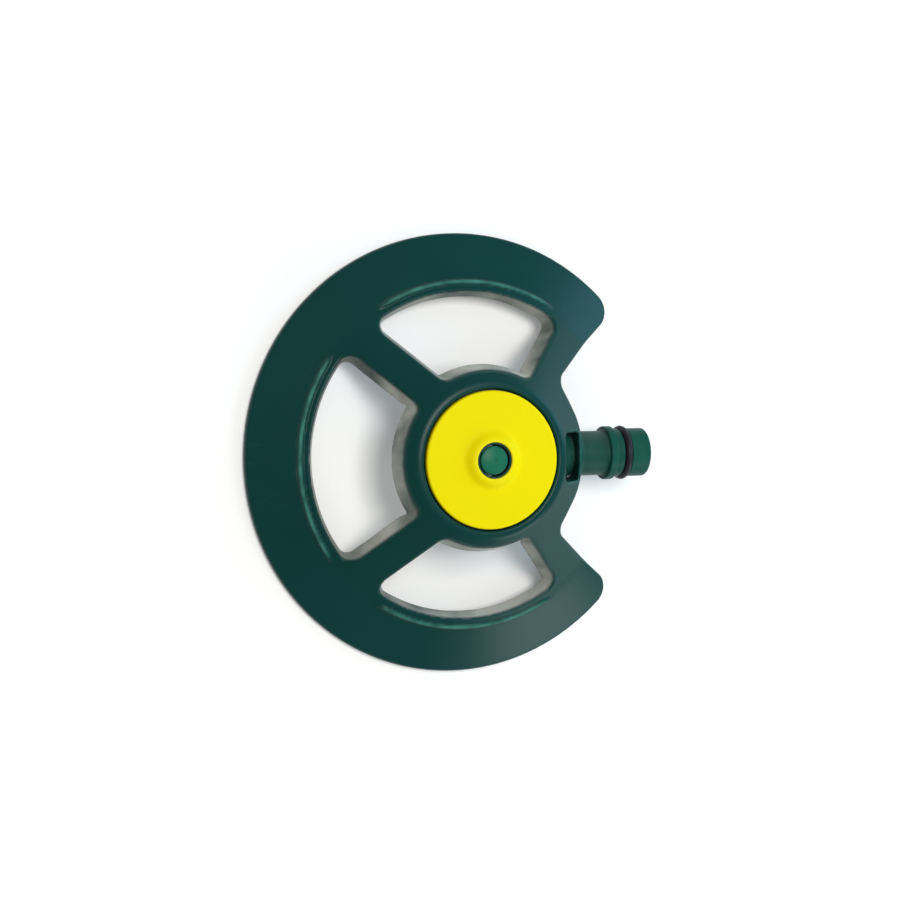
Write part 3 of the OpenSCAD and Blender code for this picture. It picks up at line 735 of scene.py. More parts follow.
# The light teal worn tone also paints the highlight along the beads, and the pale dust tone the reflection
# of the floor on the walls of the windows.
BASE_GREEN = Finish(
    "base_green", colour=(0.0022, 0.052, 0.047), deep=(0.0015, 0.036, 0.035),
    worn_and_sheen=(0.070, 0.300, 0.240), dusty_and_sheen=(0.60, 0.60, 0.54), roughness=0.27, spread=0.08,
    rub_and_sheen=0.8, dust_and_sheen=0.85, scuff=0.10, gloss=0.16,
)
SPIGOT_GREEN = Finish(
    "spigot_green", colour=(0.0025, 0.072, 0.052), deep=(0.0020, 0.052, 0.040),
    worn_and_sheen=(0.04, 0.17, 0.13), roughness=0.30, rub_and_sheen=0.25, dust_and_sheen=0.1, scuff=0.15, gloss=0.08,
)
PIN_GREEN = Finish(
    "pin_green", colour=(0.014, 0.170, 0.090), deep=(0.008, 0.115, 0.070),
    worn_and_sheen=(0.06, 0.26, 0.18), roughness=0.3, rub_and_sheen=0.3, dust_and_sheen=0.2, gloss=0.12,
)
DIAL_YELLOW = Finish(
    "dial_yellow", colour=(0.880, 0.760, 0.003), deep=(0.820, 0.690, 0.002),
    worn_and_sheen=(0.93, 0.86, 0.12), dusty_and_sheen=(0.42, 0.36, 0.10), roughness=0.34, spread=0.06,
    rub_and_sheen=0.35, dust_and_sheen=0.35, scuff=0.12, gloss=0.03,
)
ORIFICE_DARK = Finish(
    "orifice_dark", colour=(0.012, 0.045, 0.036), deep=(0.008, 0.03, 0.026),
    worn_and_sheen=(0.05, 0.12, 0.1), roughness=0.4, gloss=0.1,
)
TOWER_PLASTIC = Finish(
    "tower_plastic", colour=(0.016, 0.018, 0.018), deep=(0.010, 0.012, 0.012),
    worn_and_sheen=(0.07, 0.075, 0.075), roughness=0.42, grain=700.0, bump=0.16, rub_and_sheen=0.5, dust_and_sheen=0.4,
)
FILTER_PLASTIC = Finish(
    "filter_plastic", colour=(0.70, 0.74, 0.66), deep=(0.60, 0.62, 0.54),
    worn_and_sheen=(0.80, 0.82, 0.78), dusty_and_sheen=(0.36, 0.30, 0.20), roughness=0.45, dust_and_sheen=0.5,
)
SEAL_RUBBER = Finish(
    "seal_rubber", colour=(0.010, 0.010, 0.018), deep=(0.006, 0.006, 0.011),
    worn_and_sheen=(0.05, 0.05, 0.07), roughness=0.50, grain=1400.0, bump=0.2, rub_and_sheen=0.3, dust_and_sheen=0.4,
)
SPRING_STEEL = Finish(
    "spring_steel", colour=(0.56, 0.57, 0.58), deep=(0.42, 0.43, 0.44), worn_and_sheen=(0.72, 0.73, 0.74),
    metallic=1.0, roughness=0.28, grain=1600.0, tone=90.0, rub_and_sheen=0.5, dust_and_sheen=0.3, scuff=0.5,
)
SCREW_STEEL = Finish(
    "screw_steel", colour=(0.50, 0.51, 0.52), deep=(0.36, 0.37, 0.38), worn_and_sheen=(0.70, 0.71, 0.72),
    metallic=1.0, roughness=0.32, grain=1600.0, tone=120.0, rub_and_sheen=0.6, dust_and_sheen=0.4, scuff=0.4,
)


class Palette:
    """The finishes of the sprinkler as materials, by the name of the record's slot."""

    FINISHES = (
        BASE_GREEN, SPIGOT_GREEN, PIN_GREEN, DIAL_YELLOW, ORIFICE_DARK, TOWER_PLASTIC,
        FILTER_PLASTIC, SEAL_RUBBER, SPRING_STEEL, SCREW_STEEL,
    )

    def __init__(self) -> None:
        """Builds every finish."""
        effects = Effects()
        self.materials = {f.name: f.build(effects) for f in self.FINISHES}

    def dress_node(self, frame: dict, node: str, finish: Finish) -> None:
        """Gives a carried-over node its finish.

        Args:
            frame: The loaded frame.
            node: Name of the node.
            finish: The finish that it gets.
        """
        mesh = frame["nodes"][node].data
        mesh.materials.clear()
        mesh.materials.append(self.materials[finish.name])
        LOG.info("node %s wears %s", node, finish.name)

    def piece(self, name: str, skin: Skin, finish: Finish, body: Body, *nodes: str) -> None:
        """Makes a piece that stands for nodes of the frame.

        Args:
            name: Name of the piece.
            skin: Its surface, in millimetres.
            finish: Its finish.
            body: The body that it rides on.
            *nodes: The nodes that it stands for.
        """
        mesh = mesh_of(name, skin)
        mesh.normals_split_custom_set_from_vertices(skin.normals.tolist())
        mesh.materials.append(self.materials[finish.name])
        self.hand_over(set_down(name, mesh), finish, body, *nodes)

    @staticmethod
    def hand_over(made: bpy.types.Object, finish: Finish, body: Body, *nodes: str) -> None:
        """Tells the frame what a finished object rides on and stands for.

        Args:
            made: The finished object.
            finish: Its finish; not used.
            body: The body that it rides on.
            *nodes: The nodes that it stands for.
        """
        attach(made, body.value)
        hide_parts(*nodes)
        LOG.info("%s: %d points, rides on %s", made.name, len(made.data.vertices), body.value)


@dataclass
class Levels:
    """Heights and places that several sub-assemblies share, in millimetres."""

    inlet: float
    skirt: float
    crest: float
    tower_foot: float
    free_gap: float = 0.3
    groove_play: float = 0.1
    seat_fit: float = 0.05
    dial_t: float = 1.5
    dial_crown: float = 0.4
    boss_h: float = 1.9
    dial_space: float = 2.6
    floor_t: float = 1.8
    lip_drop: float = 0.4
    barrel_r: float = 11.6
    screw_circle: float = 18.6
    screw_hole: float = 1.55
    ear_rise: float = 6.0
    ear_t: float = 2.6
    clip_x: float = 22.2
    clip_t: float = 1.4
    nut_top: float = 30.7
    retainer_rise: float = 0.5
    retainer_t: float = 0.8

    def __post_init__(self) -> None:
        """Works out the heights that follow from the sizes."""
        self.dial_foot = self.crest - self.boss_h
        self.dial_rim = self.dial_foot - self.dial_crown
        self.dial_under = self.dial_rim - self.dial_t
        self.floor = self.dial_under - self.dial_space
        self.floor_under = self.floor - self.floor_t
        self.lip = self.dial_rim - self.lip_drop
        self.ears = self.inlet + self.ear_rise
        self.retainer = self.skirt + self.retainer_rise
        self.ear_reach = self.screw_circle / math.sqrt(2)

    @classmethod
    def from_frame(cls) -> Levels:
        """Reads the heights that the frame gives.

        Returns:
            The levels.
        """
        spigot, dial, tower = (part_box(n) for n in ("hose_spigot", "spray_dial", "water_tower"))
        return cls(
            inlet=(spigot[0].z + spigot[1].z) / 2 / MM,
            skirt=dial[0].z / MM,
            crest=dial[1].z / MM,
            tower_foot=tower[0].z / MM,
        )

    def to_screw(self, x: Array, y: Array) -> Array:
        """Distance in plan to the axis of the nearest tower screw."""
        return np.hypot(np.abs(x) - self.ear_reach, np.abs(y) - self.ear_reach)


@dataclass
class Base:
    """The wheel-shaped base: two cones, three windows, the notch, the hub and its lip.

    Fields that end in _deg are angles. steep is the share of a drop below the sloping roof that
    is measured square to it, and draft is how far a window's wall leans inwards for its depth.
    """

    levels: Levels
    ring_r: float = 70.0
    band_w: float = 15.5
    rim_h: float = 2.6
    rim_t: float = 2.2
    knee_h: float = 10.4
    knee: float = 0.6
    wall: float = 2.8
    bead: float = 0.9
    bead_rise: float = 0.15
    bead_sink: float = 1.44
    bead_fade_deg: float = 7.0
    window_gap: float = 2.5
    outer_corner: float = 5.0
    inner_corner: float = 2.5
    rear_web: float = 3.7
    side_web: float = 6.6
    front_web: float = 7.3
    horn_deg: float = 36.5
    horn_d: float = 3.8
    horn_tip: float = 7.0
    notch_corner: float = 3.2
    apron_w: float = 6.0
    apron_sweep_deg: float = 27.0
    front_half: float = 8.6
    front_corner: float = 2.5
    flange: float = 1.6
    notch_flange: float = 5.0
    window_flange: float = 4.4
    hub_flange: float = 7.9
    hub_flange_w: float = 2.4
    hub_flange_slope: float = 2.5
    hub_r: float = 27.4
    recess_r: float = 22.0
    lip_t: float = 2.0
    lip_rise: float = 2.8
    rib_t: float = 2.0
    rib_d: float = 5.0
    rib_lift: float = 1.0
    round_rib_in: float = 9.0
    steep: float = 0.8
    strap: float = 1.6
    slot_half: float = 7.6
    slot_corner: float = 1.5
    slot_gap: float = 1.2
    neck_hole: float = 7.3
    boss_r: float = 2.9
    boss_roof: float = 1.4
    floor_hole: float = 13.9
    stop_r: float = 17.7
    stop_t: float = 2.4
    stop_h: float = 1.8
    stop_sunk: float = 0.5
    stop_half_deg: float = 36.0
    wall_reach: float = 9.0
    wall_half: float = 13.0
    draft: float = 0.40
    lean_depth: float = 7.5
    edge: float = 0.75
    rim_foot: float = 0.6
    crease: float = 0.5
    bore_edge: float = 0.4
    fillet: float = 0.35
    foot: float = 0.3
    valley: float = 1.5
    hollow_round: float = 0.9

    def __post_init__(self) -> None:
        """Works out the places that follow from the sizes."""
        self.knee_r = self.ring_r - self.band_w
        self.window_r = self.knee_r - self.window_gap
        self.lip_r = self.recess_r + self.lip_t
        self.hub_h = self.levels.lip - self.lip_rise
        self.front_x = self.hub_r + self.apron_w

    def cones(self, r: Array, z: Array, sink: float = 0.0) -> Array:
        """Distance to what lies under the outside of the shell.

        Args:
            r: Distance from the middle.
            z: Height.
            sink: How far below the outside to measure.

        Returns:
            Distance to the solid below, negative inside it.
        """
        spots = (
            (self.ring_r, self.rim_h), (self.knee_r, self.knee_h),
            (self.hub_r, self.hub_h), (self.lip_r, self.levels.lip),
        )
        sides = [under_line(r, z + sink, start, end) for start, end in zip(spots, spots[1:])]
        return reduce(partial(merge, reach=self.knee), sides)

    def plan(self, x: Array, y: Array, r: Array) -> Array:
        """Distance in plan to the base's outline, with the notch between its horns.

        Args:
            x: Distance along the hose axis.
            y: Distance to the left of it.
            r: Distance from the middle.

        Returns:
            The distance, negative inside the outline.
        """
        side = np.abs(y)
        hx, hy = direction(self.horn_deg + 90)
        horn = self.horn_d - (x * hx + side * hy)
        ax, ay = direction(self.apron_sweep_deg)
        reach = self.front_x * ax + self.front_half * ay
        apron = keep(x - self.front_x, x * ax + side * ay - reach, self.front_corner)
        return keep(r - self.ring_r, join(horn, apron, self.notch_corner), self.horn_tip)

    def windows(self) -> list[tuple[float, float, float]]:
        """Direction and the webs on the two sides of each window."""
        front, side, rear = self.front_web, self.side_web, self.rear_web
        return [(90, front, side), (180, rear, rear), (270, side, front)]

    def lean(self, roof: Array) -> Array:
        """How far the wall of a window leans inwards at a depth below the outside of the shell."""
        return self.draft * np.clip(-roof, 0, self.lean_depth)

    def window(self, x: Array, y: Array, r: Array) -> Array:
        """Distance in plan to the nearest window.

        Args:
            x: Distance along the hose axis.
            y: Distance to the left of it.
            r: Distance from the middle.

        Returns:
            The distance, negative inside a window.
        """
        holes = []
        for mid, web_cw, web_ccw in self.windows():
            ax, ay = direction(mid + 45)
            bx, by = direction(mid + 135)
            hole = keep(r - self.window_r, web_cw - (x * ax + y * ay), self.outer_corner)
            hole = keep(hole, web_ccw + (x * bx + y * by), self.outer_corner)
            holes.append(keep(hole, self.hub_r - r, self.inner_corner))
        return reduce(np.minimum, holes)

    def beads(self, x: Array, y: Array, z: Array, r: Array) -> Array:
        """Distance to the beads outside the windows, which sink into the shell at their ends.

        Args:
            x: Distance along the hose axis.
            y: Distance to the left of it.
            z: Height.
            r: Distance from the middle.

        Returns:
            The distance, negative inside a bead.
        """
        cords = []
        fade = math.radians(self.bead_fade_deg)
        reach = self.window_r - self.outer_corner
        for mid, web_cw, web_ccw in self.windows():
            cw, ccw = (math.asin((web + self.outer_corner) / reach) for web in (web_cw, web_ccw))
            half = (math.radians(90) - ccw - cw + fade) / 2
            off = turned_from(x, y, mid + math.degrees(cw - ccw) / 2)
            past = np.clip((off - half + fade) / fade, 0, 1)
            height = self.knee_h + self.bead_rise - self.bead_sink * past**2
            over = np.maximum(off - half, 0) * r
            cords.append(np.sqrt((r - self.knee_r) ** 2 + (z - height) ** 2 + over**2) - self.bead)
        return reduce(np.minimum, cords)

    def flanges(self, x: Array, y: Array, z: Array, r: Array, roof: Array) -> Array:
        """Distance to the flanges of the notch and the windows and to the front wall.

        Args:
            x: Distance along the hose axis.
            y: Distance to the left of it.
            z: Height.
            r: Distance from the middle.
            roof: Distance to the space under the shell.

        Returns:
            Distance to these solids, negative inside them.
        """
        band = -self.flange - self.plan(x, y, r)
        notch = keep(band, -roof - self.notch_flange * self.steep, self.foot)
        window = self.window(x, y, r) + self.lean(self.cones(r, z)) - self.flange
        beyond = np.maximum(r - self.hub_r - self.hub_flange_w, 0)
        at_hub = self.hub_h - self.hub_flange - z - self.hub_flange_slope * beyond
        depth = np.maximum(-roof - self.window_flange * self.steep, at_hub)
        front = keep(band, np.abs(y) - self.wall_half)
        front = keep(front, self.levels.inlet - self.wall_reach - z, self.foot)
        return join(np.minimum(notch, front), keep(window, depth, self.foot), self.crease)

    def ribs(self, x: Array, y: Array, z: Array, r: Array, roof: Array) -> Array:
        """Distance to what stands in the hollow of the base: flanges, ribs and screw bosses.

        Args:
            x: Distance along the hose axis.
            y: Distance to the left of it.
            z: Height.
            r: Distance from the middle.
            roof: Distance to the space under the shell.

        Returns:
            Distance to these solids, negative inside them.
        """
        spoke = np.abs(np.abs(x) - np.abs(y)) / math.sqrt(2) - self.rib_t / 2
        spoke = keep(spoke, -roof - self.rib_d * self.steep)
        spoke = keep(spoke, self.lip_r - self.lip_t / 2 - r)
        hoop = np.abs(r - self.ring_r + self.round_rib_in + self.rib_t / 2) - self.rib_t / 2
        lift = self.rib_lift - z
        found = self.flanges(x, y, z, r, roof)
        found = join(found, keep(spoke, lift, self.crease), self.valley)
        found = join(found, keep(hoop, lift, self.crease), self.crease)
        boss = self.levels.to_screw(x, y) - self.boss_r
        return join(found, keep(boss, self.levels.ears - z, self.crease), self.crease)

    def hollow(self, x: Array, y: Array, z: Array, r: Array) -> Array:
        """Distance to the hollow of the base, less what stands in it.

        Args:
            x: Distance along the hose axis.
            y: Distance to the left of it.
            z: Height.
            r: Distance from the middle.

        Returns:
            The distance, negative inside the hollow.
        """
        roof = self.cones(r, z, self.wall)
        beside = np.minimum(self.lip_r - r, z - self.levels.skirt)
        under_floor = np.maximum(r - self.recess_r, z - self.levels.floor_under)
        space = join(keep(roof, beside, self.hollow_round), under_floor)
        space = keep(space, r - self.ring_r + self.rim_t, self.crease)
        return cut(space, self.ribs(x, y, z, r, roof), self.hollow_round)

    def cuts(self, x: Array, y: Array, z: Array) -> Array:
        """Distance to the slot over the spigot, the neck's opening and the screw holes.

        Args:
            x: Distance along the hose axis.
            y: Distance to the left of it.
            z: Height.

        Returns:
            The distance, negative inside an opening.
        """
        low, high = self.lip_r + self.slot_gap, self.front_x - self.strap
        across = np.abs(x - (low + high) / 2) - (high - low) / 2 + self.slot_corner
        wide = np.abs(y) - self.slot_half + self.slot_corner
        slot = np.hypot(np.maximum(across, 0), np.maximum(wide, 0))
        slot = slot + np.minimum(np.maximum(across, wide), 0) - self.slot_corner
        round_part = np.hypot(y, z - self.levels.inlet) - self.neck_hole
        below = np.maximum(np.abs(y) - self.neck_hole, z - self.levels.inlet)
        neck = keep(np.minimum(round_part, below), low - x)
        hole = self.levels.to_screw(x, y) - self.levels.screw_hole
        hole = keep(hole, z - self.levels.floor + self.boss_roof)
        return np.minimum(np.minimum(slot + 0 * z, neck), hole)

    def stop_rib(self, x: Array, y: Array, z: Array, r: Array) -> Array:
        """Distance to the rib on the floor that stops the dial's lug.

        Args:
            x: Distance along the hose axis.
            y: Distance to the left of it.
            z: Height.
            r: Distance from the middle.

        Returns:
            The distance, negative inside the rib.
        """
        floor = self.levels.floor
        past = turned_from(x, y, 180) - math.radians(self.stop_half_deg)
        rib = keep(np.abs(r - self.stop_r) - self.stop_t / 2, past * r)
        return keep(rib, between(z, floor - self.stop_sunk, floor + self.stop_h), self.foot)

    def field(self, x: Array, y: Array, z: Array) -> Array:
        """Distance to the whole base.

        Args:
            x: Distance along the hose axis.
            y: Distance to the left of it.
            z: Height.

        Returns:
            The distance, negative inside the base.
        """
        r = np.hypot(x, y)
        outside = self.cones(r, z)
        solid = keep(outside, z - self.levels.lip, self.edge)
        solid = join(solid, self.beads(x, y, z, r), self.fillet)
        solid = keep(solid, self.plan(x, y, r), self.edge)
        solid = keep(solid, -z, self.rim_foot)
        solid = cut(solid, self.hollow(x, y, z, r), self.foot)
        solid = cut(solid, self.window(x, y, r) + self.lean(outside), self.edge)
        recess = keep(r - self.recess_r, self.levels.floor - z, self.bore_edge)
        solid = join(cut(solid, recess, self.edge), self.stop_rib(x, y, z, r), self.foot)
        solid = cut(solid, r - self.floor_hole, self.bore_edge)
        return cut(solid, self.cuts(x, y, z), self.fillet)

    def build(self, palette: Palette) -> None:
        """Makes the base and hands it to the frame.

        Args:
            palette: The materials.
        """
        reach = self.ring_r
        high = (reach * direction(self.horn_deg)[0] + self.horn_tip, reach, self.levels.lip)
        skin = Mould(pitch=0.68).cast(self.field, (-reach, -reach, 0), high)
        self.mark(skin)
        palette.piece("wheel_base", skin, BASE_GREEN, Body.BASE, "base_shell")

    def mark(self, skin: Skin) -> None:
        """Paints a highlight along the beads, and paints the walls of the windows pale as a reflection
        of the floor.

        Args:
            skin: The skin of the base, whose wear and painted light are set.
        """
        x, y, z = skin.points.T
        r = np.hypot(x, y)
        near, fade, elsewhere = 0.4, 0.5, 0.3
        outside = self.cones(r, z)
        window = self.window(x, y, r)
        # Painted highlight: the crests of the beads take the light teal worn tone, however they are lit.
        bead = np.clip((outside - near) / fade, 0, 1) * (self.beads(x, y, z, r) < near)
        # Painted reflection: the walls of the windows take the pale dust tone in place of the floor's
        # reflection.
        wall = np.clip(-outside - near, 0, 1) * (np.abs(window + self.lean(outside)) < near)
        away = np.clip(window / self.window_gap - 1, 0, 1)
        skin.rub_and_sheen = np.maximum(bead, elsewhere * away * skin.rub_and_sheen)
        skin.soil_and_sheen = np.maximum(wall, elsewhere * away * skin.soil_and_sheen)


@dataclass
class Spigot:
    """The hose spigot with its collars, its O-ring and the mouth that holds the filter."""

    levels: Levels
    end_x: float
    front_x: float = 33.4
    bore: float = 4.6
    seat_gap: float = 0.7
    seat_r: float = 7.0
    seal_groove_r: float = 5.55
    seal_groove_w: float = 1.6
    seal_x: float = 15.5
    clip_groove_r: float = 6.0
    stop_x: float = 26.9
    stop_r: float = 8.4
    stop_t: float = 3.5
    shoulder_r: float = 8.2
    shoulder_t: float = 1.5
    neck_r: float = 7.1
    neck_len: float = 10.8
    catch_r: float = 8.5
    catch_t: float = 2.7
    land: float = 2.4
    tip_r: float = 7.7
    tip_len: float = 6.5
    tip_round: float = 1.4
    cord: float = 1.2
    cord_rise: float = 0.9
    filter_r: float = 5.75
    filter_len: float = 4.0

    def build(self, palette: Palette) -> None:
        """Turns the spigot and its O-ring.

        Args:
            palette: The materials.
        """
        lv, lathe = self.levels, Lathe()
        catch_x = self.front_x + self.neck_len
        land_x = catch_x + self.catch_t
        groove_x = land_x + self.land
        tip_x = self.end_x - self.tip_len
        groove_r = self.tip_r + self.cord_rise - 2 * self.cord
        shoulder_x = self.front_x + lv.free_gap
        mouth_x = self.end_x - self.filter_len
        flare, root, small, mouth, ease, fine = 0.9, 0.6, 0.5, 0.35, 0.3, 0.2
        # A step is a place along the tube, then the radius and the fillet of each corner there.
        steps = (
            (mouth_x, (self.bore, fine)),
            (lv.barrel_r + self.seat_gap, (self.bore, small), (self.seat_r, small)),
            (self.seal_x, (self.seat_r, fine), (self.seal_groove_r, fine)),
            (self.seal_x + self.seal_groove_w, (self.seal_groove_r, fine), (self.seat_r, fine)),
            (lv.clip_x, (self.seat_r, fine), (self.clip_groove_r, fine)),
            (lv.clip_x + lv.clip_t, (self.clip_groove_r, fine), (self.seat_r, fine)),
            (self.stop_x, (self.seat_r, fine), (self.stop_r, small)),
            (self.stop_x + self.stop_t, (self.stop_r, small), (self.neck_r, fine)),
            (shoulder_x, (self.neck_r, fine), (self.shoulder_r, small)),
            (shoulder_x + self.shoulder_t, (self.neck_r, flare)),
            (catch_x, (self.neck_r, root), (self.catch_r, small)),
            (land_x, (self.catch_r, small), (self.tip_r, ease)),
            (groove_x, (self.tip_r, ease), (groove_r, fine)),
            (tip_x, (groove_r, fine), (self.tip_r, ease)),
            (self.end_x, (self.tip_r, self.tip_round), (self.filter_r, mouth)),
            (mouth_x, (self.filter_r, fine)),
        )
        corners = [(r, x, fillet) for x, *ends in steps for r, fillet in ends]
        skin = lathe.turn(lathe.rounded(corners, open_ends=False), Axis.HOSE, lv.inlet, open_ends=False)
        palette.piece("spigot_tube", skin, SPIGOT_GREEN, Body.BASE, "hose_spigot")
        rows = lathe.cord(groove_r + self.cord, (groove_x + tip_x) / 2, self.cord)
        skin = lathe.turn(rows, Axis.HOSE, lv.inlet, open_ends=False)
        palette.piece("o_ring", skin, SEAL_RUBBER, Body.BASE, "spigot_o_ring")


@dataclass
class Dial:
    """The yellow spray dial with its boss, skirt, stop lug and screw posts, and the ring in its hole."""

    levels: Levels
    radius: float = 21.4
    boss_foot: float = 9.0
    boss_crest: float = 6.9
    boss_sunk: float = 0.02
    hole: float = 5.6
    step: float = 1.1
    ledge: float = 0.3
    rim_lip: float = 1.0
    skirt_wall: float = 1.9
    running: float = 0.1
    shoulder: float = 1.9
    groove: float = 0.8
    lug_in: float = 1.0
    lug_w: float = 2.4
    lug_deg: float = 225.0
    lug_arc_deg: float = 14.0
    lug_gap: float = 0.8
    post_r: float = 1.2
    post_hole: float = 0.85
    post_depth: float = 0.9
    post_circle: float = 7.35
    posts: int = 3
    first_post_deg: float = 30.0
    orifice_wall: float = 0.55
    orifice_ledge: float = 1.0
    orifice_drop: float = 0.4
    sunk: float = 0.5
    edge: float = 0.5
    boss_edge: float = 0.6
    boss_fillet: float = 0.5
    hole_edge: float = 0.35
    fillet: float = 0.3
    soft: float = 0.25
    fine: float = 0.2
    groove_edge: float = 0.15
    post_edge: float = 0.1
    orifice_edge: float = 0.08

    def disc(self, r: Array, z: Array) -> Array:
        """Distance to the plate of the dial with its turned-down rim and its boss.

        Args:
            r: Distance from the middle.
            z: Height.

        Returns:
            The distance, negative inside.
        """
        lv = self.levels
        foot = (self.boss_foot, lv.dial_foot)
        face = under_line(r, z, (self.radius, lv.dial_rim), foot)
        face = np.maximum(face, z - lv.dial_foot - self.boss_sunk)
        plate = keep(keep(r - self.radius, face, self.edge), lv.dial_under - z)
        hang = between(z, lv.dial_under - self.rim_lip, lv.dial_rim - self.edge)
        rim = keep(between(r, self.radius - self.rim_lip, self.radius), hang, self.soft)
        side = under_line(r, z, foot, (self.boss_crest, lv.crest))
        boss = keep(keep(side, z - lv.crest, self.boss_edge), lv.dial_under - z)
        return join(join(plate, rim, self.fine), boss, self.boss_fillet)

    def round_body(self, r: Array, z: Array) -> Array:
        """Distance to the disc and its skirt, with the shoulder and the groove of the retaining ring.

        Args:
            r: Distance from the middle.
            z: Height.

        Returns:
            The distance, negative inside.
        """
        lv = self.levels
        bore, outer = self.skirt_radii()
        top = lv.dial_rim - self.edge
        skirt = keep(between(r, bore, outer), between(z, lv.skirt, top), self.soft)
        neck = keep(r - outer - self.shoulder, between(z, lv.floor + lv.free_gap, top), self.soft)
        solid = join(self.disc(r, z), np.minimum(skirt, keep(neck, bore - r)), self.fillet)
        room = between(z, lv.retainer, lv.retainer + lv.retainer_t + 2 * lv.groove_play)
        return cut(solid, keep(outer - self.groove - r, room), self.groove_edge)

    def skirt_radii(self) -> Spot:
        """Inner and outer radius of the skirt."""
        bore = self.levels.barrel_r + self.running
        return bore, bore + self.skirt_wall

    def lug(self, x: Array, y: Array, z: Array, r: Array) -> Array:
        """Distance to the lug that meets the stop rib.

        Args:
            x: Distance along the hose axis.
            y: Distance to the left of it.
            z: Height.
            r: Distance from the middle.

        Returns:
            The distance, negative inside.
        """
        lv = self.levels
        past = turned_from(x, y, self.lug_deg) - math.radians(self.lug_arc_deg / 2)
        inner = self.skirt_radii()[1] + self.shoulder + self.lug_in
        lug = keep(between(r, inner, inner + self.lug_w), past * r, self.fillet)
        return keep(lug, between(z, lv.floor + self.lug_gap, lv.dial_under + self.sunk), self.fillet)

    def field(self, x: Array, y: Array, z: Array) -> Array:
        """Distance to the whole dial.

        Args:
            x: Distance along the hose axis.
            y: Distance to the left of it.
            z: Height.

        Returns:
            The distance, negative inside.
        """
        lv = self.levels
        r = np.hypot(x, y)
        solid = join(self.round_body(r, z), self.lug(x, y, z, r), self.fillet)
        for i in range(self.posts):
            ax, ay = direction(self.first_post_deg + 360 / self.posts * i)
            post = np.hypot(x - self.post_circle * ax, y - self.post_circle * ay)
            height = between(z, lv.nut_top, lv.dial_under + self.sunk)
            solid = join(solid, keep(post - self.post_r, height, self.fine), self.fine)
            hole = keep(post - self.post_hole, z - lv.dial_under - self.post_depth)
            solid = cut(solid, hole, self.post_edge)
        wide = keep(r - self.hole - self.ledge, z - lv.dial_under - self.step)
        return cut(solid, np.minimum(r - self.hole, wide), self.hole_edge)

    def build(self, palette: Palette) -> None:
        """Makes the dial and its orifice ring.

        Args:
            palette: The materials.
        """
        lv, reach = self.levels, self.radius
        low, high = (-reach, -reach, lv.skirt), (reach, reach, lv.crest)
        skin = Mould(pitch=0.36, feel=0.6).cast(self.field, low, high)
        palette.piece("dial_disc", skin, DIAL_YELLOW, Body.DIAL, "spray_dial")
        out = self.hole - lv.seat_fit
        inner = out - self.orifice_wall + lv.seat_fit
        ledge_z, top = lv.dial_under + self.orifice_ledge, lv.crest - self.orifice_drop
        fine = self.orifice_edge
        corners = [
            (inner, lv.dial_under, self.post_edge), (out + self.ledge, lv.dial_under, fine),
            (out + self.ledge, ledge_z, fine), (out, ledge_z, fine),
            (out, top, self.groove_edge), (inner, top, self.fine),
        ]
        lathe = Lathe(turns=96)
        skin = lathe.turn(lathe.rounded(corners, open_ends=False), Axis.UP, 0.0, open_ends=False)
        palette.piece("orifice_sleeve", skin, ORIFICE_DARK, Body.DIAL, "orifice_ring")


@dataclass
class Pin:
    """The nozzle pin: a domed head on a stem, a thread and a hexagon below."""

    levels: Levels
    low: float
    head_r: float = 4.5
    head_t: float = 2.2
    head_rim: float = 1.6
    gap: float = 0.1
    under_head: float = 1.0
    stem_r: float = 2.2
    stem_foot: float = 1.0
    stem_in: float = 0.8
    thread_r: float = 3.0
    thread_rise: float = 0.7
    key_r: float = 2.5
    dome: float = 0.8
    dimple_r: float = 1.15
    dimple_d: float = 0.4
    clip_z: float = 25.5
    clip_groove: float = 0.3
    groove_low: float = 0.6
    groove_high: float = 1.4
    lift: float = 1.6
    edge: float = 0.35
    fillet: float = 0.3
    soft: float = 0.2
    key_edge: float = 0.15

    def head(self, r: Array, z: Array) -> Array:
        """Distance to the domed and dimpled head with its stem.

        Args:
            r: Distance from the middle.
            z: Height.

        Returns:
            The distance, negative inside.
        """
        up = z - self.levels.crest
        thread_top = self.levels.nut_top + self.lift
        low_z = max(thread_top, self.levels.crest - self.head_t - self.under_head) + self.gap
        cone = under_line(z, r, (low_z, self.stem_r), (self.levels.crest - self.head_rim, self.head_r))
        head = keep(np.maximum(cone, r - self.head_r), low_z - z)
        head = keep(head, ball_cap(r, up, self.head_r, self.dome), self.edge)
        dimple = np.sqrt(r**2 + (up - self.dimple_r + self.dimple_d) ** 2) - self.dimple_r
        head = cut(head, dimple, self.soft)
        height = between(z, self.clip_z + self.stem_foot, self.levels.crest - self.head_t + self.stem_in)
        return join(keep(r - self.stem_r, height), head, self.fillet)

    def field(self, x: Array, y: Array, z: Array) -> Array:
        """Distance to the pin.

        Args:
            x: Distance along the hose axis.
            y: Distance to the left of it.
            z: Height.

        Returns:
            The distance, negative inside.
        """
        r = np.hypot(x, y)
        flat = self.key_r * math.cos(math.pi / 6)
        sides = [np.abs(x * direction(a)[0] + y * direction(a)[1]) - flat for a in (30, 90, 150)]
        height = between(z, self.low, self.clip_z - self.gap)
        key = keep(reduce(np.maximum, sides), height, self.key_edge)
        room = between(z, self.clip_z - self.groove_low, self.clip_z + self.groove_high)
        groove = keep(r - flat + self.clip_groove, room)
        height = between(z, self.clip_z + self.thread_rise, self.levels.nut_top + self.lift)
        shaft = keep(r - self.thread_r, height, self.edge)
        return join(join(join(key, groove), shaft), self.head(r, z), self.soft)

    def build(self, palette: Palette) -> None:
        """Makes the pin.

        Args:
            palette: The materials.
        """
        r = self.head_r
        low, high = (-r, -r, self.low), (r, r, self.levels.crest)
        skin = Mould(pitch=0.2, feel=0.4).cast(self.field, low, high)
        palette.piece("pin_body", skin, PIN_GREEN, Body.PIN, "nozzle_pin")


